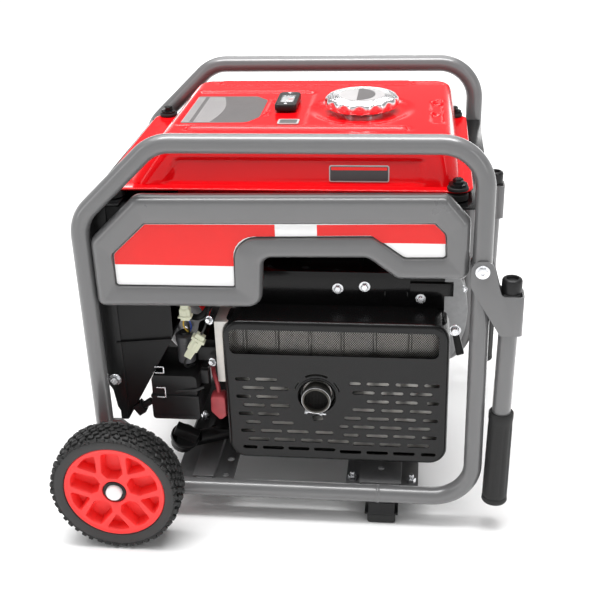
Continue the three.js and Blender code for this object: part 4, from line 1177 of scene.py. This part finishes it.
# ------------------------------------------------------------------ engine
def engine():
    refined("crankcase", BLACK_METAL, 1.2)
    refined("oil_cap", BLACK_PLASTIC, 1.2, "oil_cap")
    refined("cylinder_head", ALUMINIUM, 0.5)
    refined("air_cleaner", BLACK_PLASTIC, 1.6)
    refined("engine_shroud", SHADED_SHROUD_PLASTIC, 2.0)
    refined("starter_motor", BLACK_METAL, 1.0)
    refined("battery", BLACK_PLASTIC, 1.2)
    refined("inverter_module", ALUMINIUM, 0.4)
    screws = [hex_bolt((x, -98.4, z), TOWARD_US, 7, 4)
              for x, z in ((-40, 420), (20, 424), (70, 436), (150, 420))]
    make("shroud_screws", join(*screws), ZINC)
    ribs = [slab(rectangle(x - 2, x + 2, 356, 432, 1.8), -100.4, -98.2) for x in (104, 112)]
    make("shroud_ribs", join(*ribs), SHADED_SHROUD_PLASTIC, edge=0.4)
    posts = [lathe((-104, y, 0), UP, [(0.1, 222), (5, 222), (5, 224.5), (0.1, 225)], 24)
             for y in (96, 182)]
    make("battery_posts", join(*posts), ZINC)
    strap = join(block(-178.4, -81.6, 130, 148, 210.2, 212.2), block(-178.4, -176.4, 130, 148, 120, 212),
                 block(-83.8, -81.8, 130, 148, 120, 212))
    make("battery_strap", strap, BLACK_METAL, edge=0.4)


def alternator():
    """A cast housing with a louvred face, and the fan inside it."""
    profile = [
        (18, 41.3), (152, 41.3), (154.6, 43), (155, 48), (155, 90), (154, 97), (150, 101.5), (124, 137),
        (119, 141), (112, 142), (98, 142), (98, 138), (112, 138), (117, 136), (147, 99), (150.6, 93),
        (150.6, 46), (18, 46),
    ]
    shell = lathe(SHAFT, AWAY, profile, 96, looped=True)
    slots = []
    for k in range(36):
        if k % 9 == 4:
            continue
        turn = about_shaft(k, 36)
        slots.append(moved(block(128, 147, 100, 140, -2.6, 2.6), turn))
        slots.append(moved(block(146, 158, 60, 84, -3.0, 3.0), turn))
    make("alternator_shell", shell, ALUMINIUM, cuts=[slots],
         replaces=("alternator_housing",))
    fins = []
    for k in range(24):
        turn = about_shaft(k, 24)
        blade = moved(block(46, 98, 74, 108, -1.0, 1.0), Matrix.Rotation(0.25, 4, "X"))
        fins.append(moved(blade, turn))
    drum = lathe(SHAFT, AWAY, [
        (0.1, 48), (15.5, 48), (16, 60), (108, 60), (111.6, 63), (111.6, 112), (108.6, 112), (104, 70),
        (42, 72), (40, 128), (34, 132), (0.1, 132)], 72)
    make("fan_rotor", join(drum, *fins), ROTOR_STEEL, "rotor", replaces=("rotor",))
    bolts = [hex_bolt((SHAFT_X + 152 * math.cos(a), 44, SHAFT_Z + 152 * math.sin(a)), TOWARD_US, 9, 2.4)
             for a in (0.3, 2.6, 4.2, 5.4)]
    make("alternator_bolts", join(*bolts), ZINC)
    lever = slab([(252, 300, 3), (262, 300, 3), (274, 254, 2), (262, 250, 2)], -128, -120, edge=0.6)
    make("release_lever", lever, BLACK_PLASTIC)
    make("release_lever_bolt", hex_bolt((258, -128, 296), TOWARD_US, 11, 8), ZINC)


def about_shaft(step, steps):
    """The turn that carries a shape from the shaft's side to one of several even steps round it."""
    return Matrix.Translation(SHAFT) @ Matrix.Rotation(2 * math.pi * step / steps, 4, "Y")


def recoil_starter():
    profile = [
        (0.2, 186), (22, 186), (24, 185), (26, 183.4), (40, 183.4), (44, 185.4), (54, 185.8), (62, 183),
        (90, 170.6), (96, 166.5), (105, 155), (106, 152), (106, 142.4), (102.5, 142.4), (102.5, 152),
        (92, 165), (53, 182), (0.2, 182),
    ]
    dome = lathe(SHAFT, AWAY, profile, 96)
    slots = []
    for k in range(30):
        angle = 2 * math.pi * k / 30
        if 0.35 < (angle + 0.02) % (2 * math.pi) - 4.9 < 1.1:
            continue
        turn = about_shaft(k, 30)
        slots.append(moved(block(62, 88, 160, 190, -2.0, 2.0), turn))
    make("recoil_dome", dome, BLACK_PAINT, cuts=[slots], replaces=("recoil_cover",))
    x, z = SHAFT_X + 59, SHAFT_Z + 59
    guide = slab(rectangle(x - 15, x + 15, z - 15, z + 15, 6), 160, 190, edge=2.0)
    make("rope_guide", guide, BLACK_PLASTIC)
    bar = slab(rectangle(x - 48, x + 48, z - 10, z + 10, 9.5), 193, 209, edge=4.0, count=9)
    stem = lathe((x, 0, z), AWAY, [(0.1, 190.3), (9, 190.3), (9, 194.6), (0.1, 194.6)], 28)
    make("pull_handle", join(bar, stem), BLACK_PLASTIC, "recoil_handle",
         replaces=("recoil_handle",))


# ------------------------------------------------------------------ wiring and small engine parts
def wire(name, points, radius, material):
    """A lead through given points, smoothed by a spline."""
    nodes = [Vector(p) for p in points]
    path = []
    for i in range(len(nodes) - 1):
        a = nodes[max(i - 1, 0)]
        b, c = nodes[i], nodes[i + 1]
        d = nodes[min(i + 2, len(nodes) - 1)]
        for k in range(8):
            t = k / 8
            path.append(0.5 * ((2 * b) + (c - a) * t + (2 * a - 5 * b + 4 * c - d) * t * t
                               + (3 * b - a - 3 * c + d) * t ** 3))
    path.append(nodes[-1])
    make(name, sweep(path, radius, 12), material)


def connector(name, centre, length, width, angle, material):
    """A moulded two-part plug, with a flared mouth and a rib, turned in the X-Z plane."""
    def ring(along, half_w, half_d):
        return [Vector((-half_w, -half_d, along)), Vector((half_w, -half_d, along)),
                Vector((half_w, half_d, along)), Vector((-half_w, half_d, along))]
    w, d = width / 2, width * 0.36
    half = length / 2
    body = skin([
        ring(-half, w * 0.72, d * 0.8), ring(-half * 0.3, w * 0.75, d * 0.85), ring(-half * 0.28, w, d),
        ring(half * 0.5, w, d), ring(half * 0.52, w * 1.3, d * 1.25), ring(half * 0.68, w * 1.3, d * 1.25),
        ring(half * 0.7, w * 0.9, d * 0.9), ring(half, w * 0.85, d * 0.85),
    ])
    rib = block(-w * 0.35, w * 0.35, -d - 1.2, -d + 1, -half * 0.2, half * 0.45)
    turn = Matrix.Translation(centre) @ Matrix.Rotation(math.radians(angle), 4, "Y")
    make(name, moved(join(body, rib), turn), material, edge=0.5)


def left_side_parts():
    connector("cream_plug_upper", (-152, -196, 354), 30, 16, 180, CREAM_NYLON)
    connector("cream_plug_lower", (-141, -200, 296), 46, 17, 32, CREAM_NYLON)
    wire("lead_upper", [(-152, -192, 372), (-152, -194, 362), (-152, -196, 340), (-150, -190, 324),
                        (-152, -178, 306)], 1.5, WIRE_BLACK)
    wire("lead_blue", [(-149, -194, 340), (-146, -190, 326), (-150, -182, 312), (-156, -170, 300)],
         1.2, WIRE_BLUE)
    wire("lead_yellow", [(-155, -194, 340), (-158, -190, 325), (-154, -180, 310),
                         (-150, -168, 300)], 1.2, WIRE_YELLOW)
    wire("lead_lower", [(-129, -200, 316), (-122, -196, 330), (-120, -180, 345),
                        (-124, -160, 352)], 1.8, WIRE_BLACK)
    wire("lead_tail", [(-154, -200, 275), (-160, -196, 262), (-158, -186, 250),
                       (-150, -170, 246)], 1.8, WIRE_BLACK)
    relay = lathe((-160, -176, 0), UP, [
        (8, 256), (13.4, 257), (14, 262), (14, 292), (15.5, 293), (15.5, 303), (13, 305), (0.1, 305.4)], 40)
    make("relay_cup", relay, RELAY_GREY)
    relay_lid = lathe((-160, -176, 0), UP, [(0.1, 305.4), (9, 305.4), (8.4, 309), (0.1, 309.6)], 30)
    make("relay_lid", relay_lid, BLACK_PLASTIC)
    mouth = (-232, -198, 184)
    tilt = Matrix.Translation(mouth) @ Matrix.Rotation(math.radians(55), 4, "Y")
    plug = moved(block(-9, 9, -9, 9, -14, 0), tilt)
    collar = rod(mouth, (-218, -198, 193.6), 5.6, 20, edge=0.8)
    make("square_plug", join(plug, collar), BLACK_PLASTIC, edge=0.8)
    wire("square_plug_lead", [(-220, -198, 192), (-207, -198, 199), (-190, -200, 210), (-168, -203, 216),
                              (-146, -206, 219), (-132, -200, 222)], 2.4, WIRE_BLACK)
    tip = outline([(-121, 206, 5), (-122, 180, 5), (-108, 164, 4), (-99, 172, 4), (-99, 206, 5)], 5)
    wide = outline([(-122, 208, 6), (-123, 178, 6), (-108, 161, 5), (-98, 170, 5), (-98, 208, 6)], 5)
    boot = skin([at_y(tip, -203), at_y(wide, -198), at_y(wide, -182)])
    make("terminal_boot", boot, RED_RUBBER, edge=1.0)
    wire("boot_lead", [(-110, -190, 206), (-112, -188, 222), (-118, -180, 236), (-124, -160, 246)],
         3.6, RED_RUBBER)
    for z, name in ((254, "clip_upper"), (214, "clip_lower")):
        ring = [(x, -207.5, z + rise) for x, rise in (
            (-206, 9), (-194, 9), (-192.5, 7), (-192.5, -6), (-194, -8), (-206, -8))]
        if z > 240:
            ring = [(x, y + 1.5, (h - z) * 0.62 + z) for x, y, h in ring]
        wire(name, ring, 1.1, ZINC)
    seam = join(block(-216.5, -139.5, -206.6, -107.6, 204, 208), block(-210, -146, -207, -206, 170, 172))
    make("air_box_seam", seam, BLACK_PLASTIC, edge=0.6)
    hose = [(-140, -150, 236), (-128, -160, 246), (-118, -150, 262), (-116, -120, 276)]
    wire("breather_hose", hose, 6.0, SOFT_RUBBER)
    wire("harness_back", [(-176, -120, 340), (-160, -150, 326), (-136, -168, 330), (-120, -150, 346),
                          (-100, -120, 380)], 5.0, SOFT_RUBBER)
    coil = join(block(-140, -112, -186, -160, 262, 286), block(-136, -124, -196, -186, 226, 250))
    make("ignition_coil", coil, BLACK_PLASTIC, edge=1.2)
    make("post_bolt", hex_bolt((-268, -214.6, 240), TOWARD_US, 11, 8), ZINC)


# ------------------------------------------------------------------ control box and its panel
def control_end():
    refined("control_box", BOX_PLASTIC, 1.0)
    ledge = slab([(-262, 299.5, 0.6), (-175, 308, 0.6), (-175, 311, 0.6), (-262, 302.5, 0.6)], -208.5, -202,
                 edge=0.4, count=2)
    make("control_box_ledge", ledge, BOX_PLASTIC)
    make("control_box_ledge_far", mirrored(ledge, 1), BOX_PLASTIC)
    flange = slab([(-291, 526, 2), (-255, 526, 2), (-255, 168, 2), (-262, 163, 2), (-273, 185, 4),
                   (-277, 215, 8), (-291, 240, 6)], -205.9, -204.1, edge=0.4)
    for place, side in SIDES:
        make("control_box_flange_" + place, mirrored(flange, side), BLACK_METAL)
    refined("control_panel", BLACK_PLASTIC, 0.8)
    face = PANEL_FRONT
    frame_ring = slab(rectangle(-60, 60, 462, 486, 4), face - 2.0, face - 0.1, place=at_x, edge=0.5)
    glass_pane = slab(rectangle(-54, 54, 465, 483, 3), face - 2.5, face - 1.6, place=at_x, edge=0.2)
    make("display_frame", frame_ring, BLACK_PLASTIC)
    make("display_glass", glass_pane, LABEL_DARK)
    field = slab(rectangle(-188, 188, 206, 292, 6), face - 0.5, face - 0.1, place=at_x)
    make("panel_lower_field", field, LABEL_GREY)
    band = slab(rectangle(-188, 188, 297, 301, 1.5), face - 0.6, face - 0.1, place=at_x)
    make("panel_red_band", band, LABEL_RED)
    screws = []
    for y in (-186, 186):
        for z in (210, 350, 484):
            screws.append(lathe((face, y, z), LEFT, [
                (0.1, 0.1), (4.2, 0.1), (4.0, 1.4), (2.4, 2.1), (2.2, 1.2), (0.1, 1.2)], 20))
    make("panel_screws", join(*screws), ZINC)


def duplex_outlet(number, y):
    """A double mains socket: a plate, two faces, blade slots and earth holes."""
    face = PANEL_FRONT - 0.3
    plate = slab(rectangle(y - 22, y + 22, 384, 456, 8), face - 3.0, face, place=at_x, edge=0.8)
    domes = []
    cuts = []
    deep, proud = face - 7, face - 2
    for z in (402, 438):
        domes.append(slab(rectangle(y - 16, y + 16, z - 13.5, z + 13.5, 9), face - 5.8, face - 2.6,
                          place=at_x, edge=0.8))
        cuts.append(block(deep, proud, y - 7.6, y - 5.6, z - 1, z + 7))
        cuts.append(block(deep, proud, y + 5.6, y + 7.6, z - 1, z + 7))
        cuts.append(rod((deep, y, z - 7), (proud, y, z - 7), 2.6, 16))
    node = "duplex_outlet_" + number
    make("duplex_plate_" + number, plate, BLACK_PLASTIC, replaces=(node,))
    make("duplex_faces_" + number, join(*domes), RELAY_GREY, cuts=[cuts])


def twist_outlet():
    """A round locking socket; its curved blade slots are thin dark bands on its face, painted shade for the
    slot openings.
    """
    face = PANEL_FRONT - 0.3
    socket_z = 420
    ring = lathe((face, 0, socket_z), LEFT, [
        (0.1, 0), (30, 0), (30, 3), (29, 4.2), (26.6, 4.8), (25.6, 11), (24.6, 12), (23, 12), (22.4, 11),
        (22.4, 8.2), (0.1, 8)], 64)
    make("twist_lock_socket", ring, BLACK_PLASTIC, replaces=("twist_outlet",))
    # The slots are not cut: thin dark bands laid on the inner face are painted shade for the slot openings.
    slots = []
    for middle in (90, 210, 330):
        ring = arc_band(0, socket_z, 13.9, 1.5, middle, 20, 8)
        slots.append(skin([at_x(ring, face - 8.25), at_x(ring, face - 8.0)]))
    make("twist_lock_slot_painted_shade", join(*slots), LABEL_DARK)


def controls():
    duplex_outlet("1", -150)
    duplex_outlet("2", -90)
    twist_outlet()
    refined("engine_dial", RED_PLASTIC, 0.8, "engine_dial")
    refined("start_button", RED_PLASTIC, 0.8, "start_button")
    for number in ("1", "2"):
        name = "breaker_button_" + number
        refined(name, BLACK_PLASTIC, 0.6, name)
    face = PANEL_FRONT
    collars = [lathe((face, y, z), LEFT, [
        (r, 0.1), (r + 4, 0.1), (r + 3.4, 2.0), (r, 2.2)], 36, looped=True)
               for y, z, r in ((DIAL_Y, 322, 12.4), (-20, 330, 7.4), (20, 330, 7.4))]
    make("button_collars", join(*collars), ZINC)
    ticks = []
    for k in range(5):
        angle = math.radians(30 + 30 * k)
        ends = [(face - 0.3, DIAL_Y + r * math.cos(angle), DIAL_Z + r * math.sin(angle)) for r in (30, 34)]
        ticks.append(rod(*ends, 0.7, 8))
    make("dial_ticks", join(*ticks), LABEL_WHITE)
    lug = lathe((face, 60, 236), LEFT, [(0.1, 0), (8, 0.1), (8, 2), (0.1, 2)], 6)
    post = lathe((face, 60, 236), LEFT, [(0.1, 1.8), (3, 1.8), (3, 9), (0.1, 9.4)], 20)
    make("earth_terminal", join(lug, post), ZINC)


# ------------------------------------------------------------------ camera, floor and light
CAMERA_AT = (205.2, -1604.1, 1069.7)
CAMERA_TURN = (-0.1273, 0.4544, -0.0349)
CAMERA_LENS = 63.415


def camera():
    data = bpy.data.cameras.new("camera")
    data.lens = CAMERA_LENS
    data.sensor_width = 36.0
    data.clip_start = 0.05
    data.clip_end = 100.0
    item = placed("camera", data)
    yaw, pitch, roll = CAMERA_TURN
    ahead = Vector((math.sin(yaw) * math.cos(pitch), math.cos(yaw) * math.cos(pitch), -math.sin(pitch)))
    right = ahead.cross(Vector(UP)).normalized()
    up = right.cross(ahead)
    turned_right = right * math.cos(roll) + up * math.sin(roll)
    turned_up = up * math.cos(roll) - right * math.sin(roll)
    x, y, z = CAMERA_AT
    place = Vector(((x + SHIFT) * MM, y * MM, z * MM))
    item.matrix_world = Matrix((
        (turned_right.x, turned_up.x, -ahead.x, place.x),
        (turned_right.y, turned_up.y, -ahead.y, place.y),
        (turned_right.z, turned_up.z, -ahead.z, place.z),
        (0, 0, 0, 1),
    ))
    bpy.context.scene.camera = item


def floor():
    mesh = bpy.data.meshes.new("floor")
    far = 30.0
    mesh.from_pydata([(-far, -far, 0), (far, -far, 0), (far, far, 0), (-far, far, 0)], [], [(0, 1, 2, 3)])
    item = placed("floor", mesh)
    material = finish("floor_white", (0.90, 0.90, 0.90), 0.75, vary=0.004, grain=2, specular=0.2)
    mesh.materials.append(material)


def soft_light(name, place, aim, size, power):
    data = bpy.data.lights.new(name, "AREA")
    data.shape = "RECTANGLE"
    data.size = size[0]
    data.size_y = size[1]
    data.energy = power
    item = placed(name, data)
    item.location = place
    item.rotation_mode = "QUATERNION"
    item.rotation_quaternion = (Vector(aim) - Vector(place)).to_track_quat("-Z", "Y")


def studio():
    world = bpy.data.worlds.new("studio")
    bpy.context.scene.world = world
    world.use_nodes = True
    back = world.node_tree.nodes["Background"]
    back.inputs["Color"].default_value = (1, 1, 1, 1)
    nodes = world.node_tree.nodes
    links = world.node_tree.links
    place = nodes.new("ShaderNodeTexCoord")
    split = nodes.new("ShaderNodeSeparateXYZ")
    fade = nodes.new("ShaderNodeMapRange")
    fade.inputs["From Min"].default_value = 0.10
    fade.inputs["From Max"].default_value = 0.26
    fade.inputs["To Min"].default_value = 1.0
    fade.inputs["To Max"].default_value = 0.30
    links.new(place.outputs["Generated"], split.inputs["Vector"])
    links.new(split.outputs["Z"], fade.inputs["Value"])
    links.new(fade.outputs["Result"], back.inputs["Strength"])
    sun = bpy.data.lights.new("overhead_sky", "SUN")
    sun.energy = 2.6
    sun.angle = math.radians(70)
    item = placed("overhead_sky", sun)
    item.rotation_euler = (math.radians(-8), math.radians(-6), 0)
    soft_light("top_strip", (0.0, -0.3, 2.3), (0, 0, 0), (2.0, 0.55), 48)
    soft_light("back_low", (0.2, 3.0, 0.45), (0, 0, 0.1), (3.2, 0.7), 16)
    soft_light("back_strip", (0.2, 3.4, 2.9), (0, 0, 0.6), (3.0, 0.3), 20)
    soft_light("left_light", (-2.6, -1.6, 1.3), (0, 0, 0.3), (0.5, 2.0), 9)
    soft_light("front_fill", (0.0, -4.0, 1.0), (0, 0, 0.3), (4.0, 2.0), 6)
    soft_light("right_light", (2.4, -2.0, 1.4), (0, 0, 0.3), (0.4, 1.8), 8)
    scene = bpy.context.scene
    scene.view_settings.view_transform = "Standard"
    scene.view_settings.look = "None"
    scene.view_settings.exposure = 0.0
    scene.view_settings.gamma = 1.0


camera()
floor()
studio()
frame_loops()
base_pieces()
wheels()
handles()
fuel_tank()
side_panels()
muffler_guard()
exhaust()
muffler()
engine()
alternator()
recoil_starter()
left_side_parts()
control_end()
controls()

bpy.context.view_layer.update()
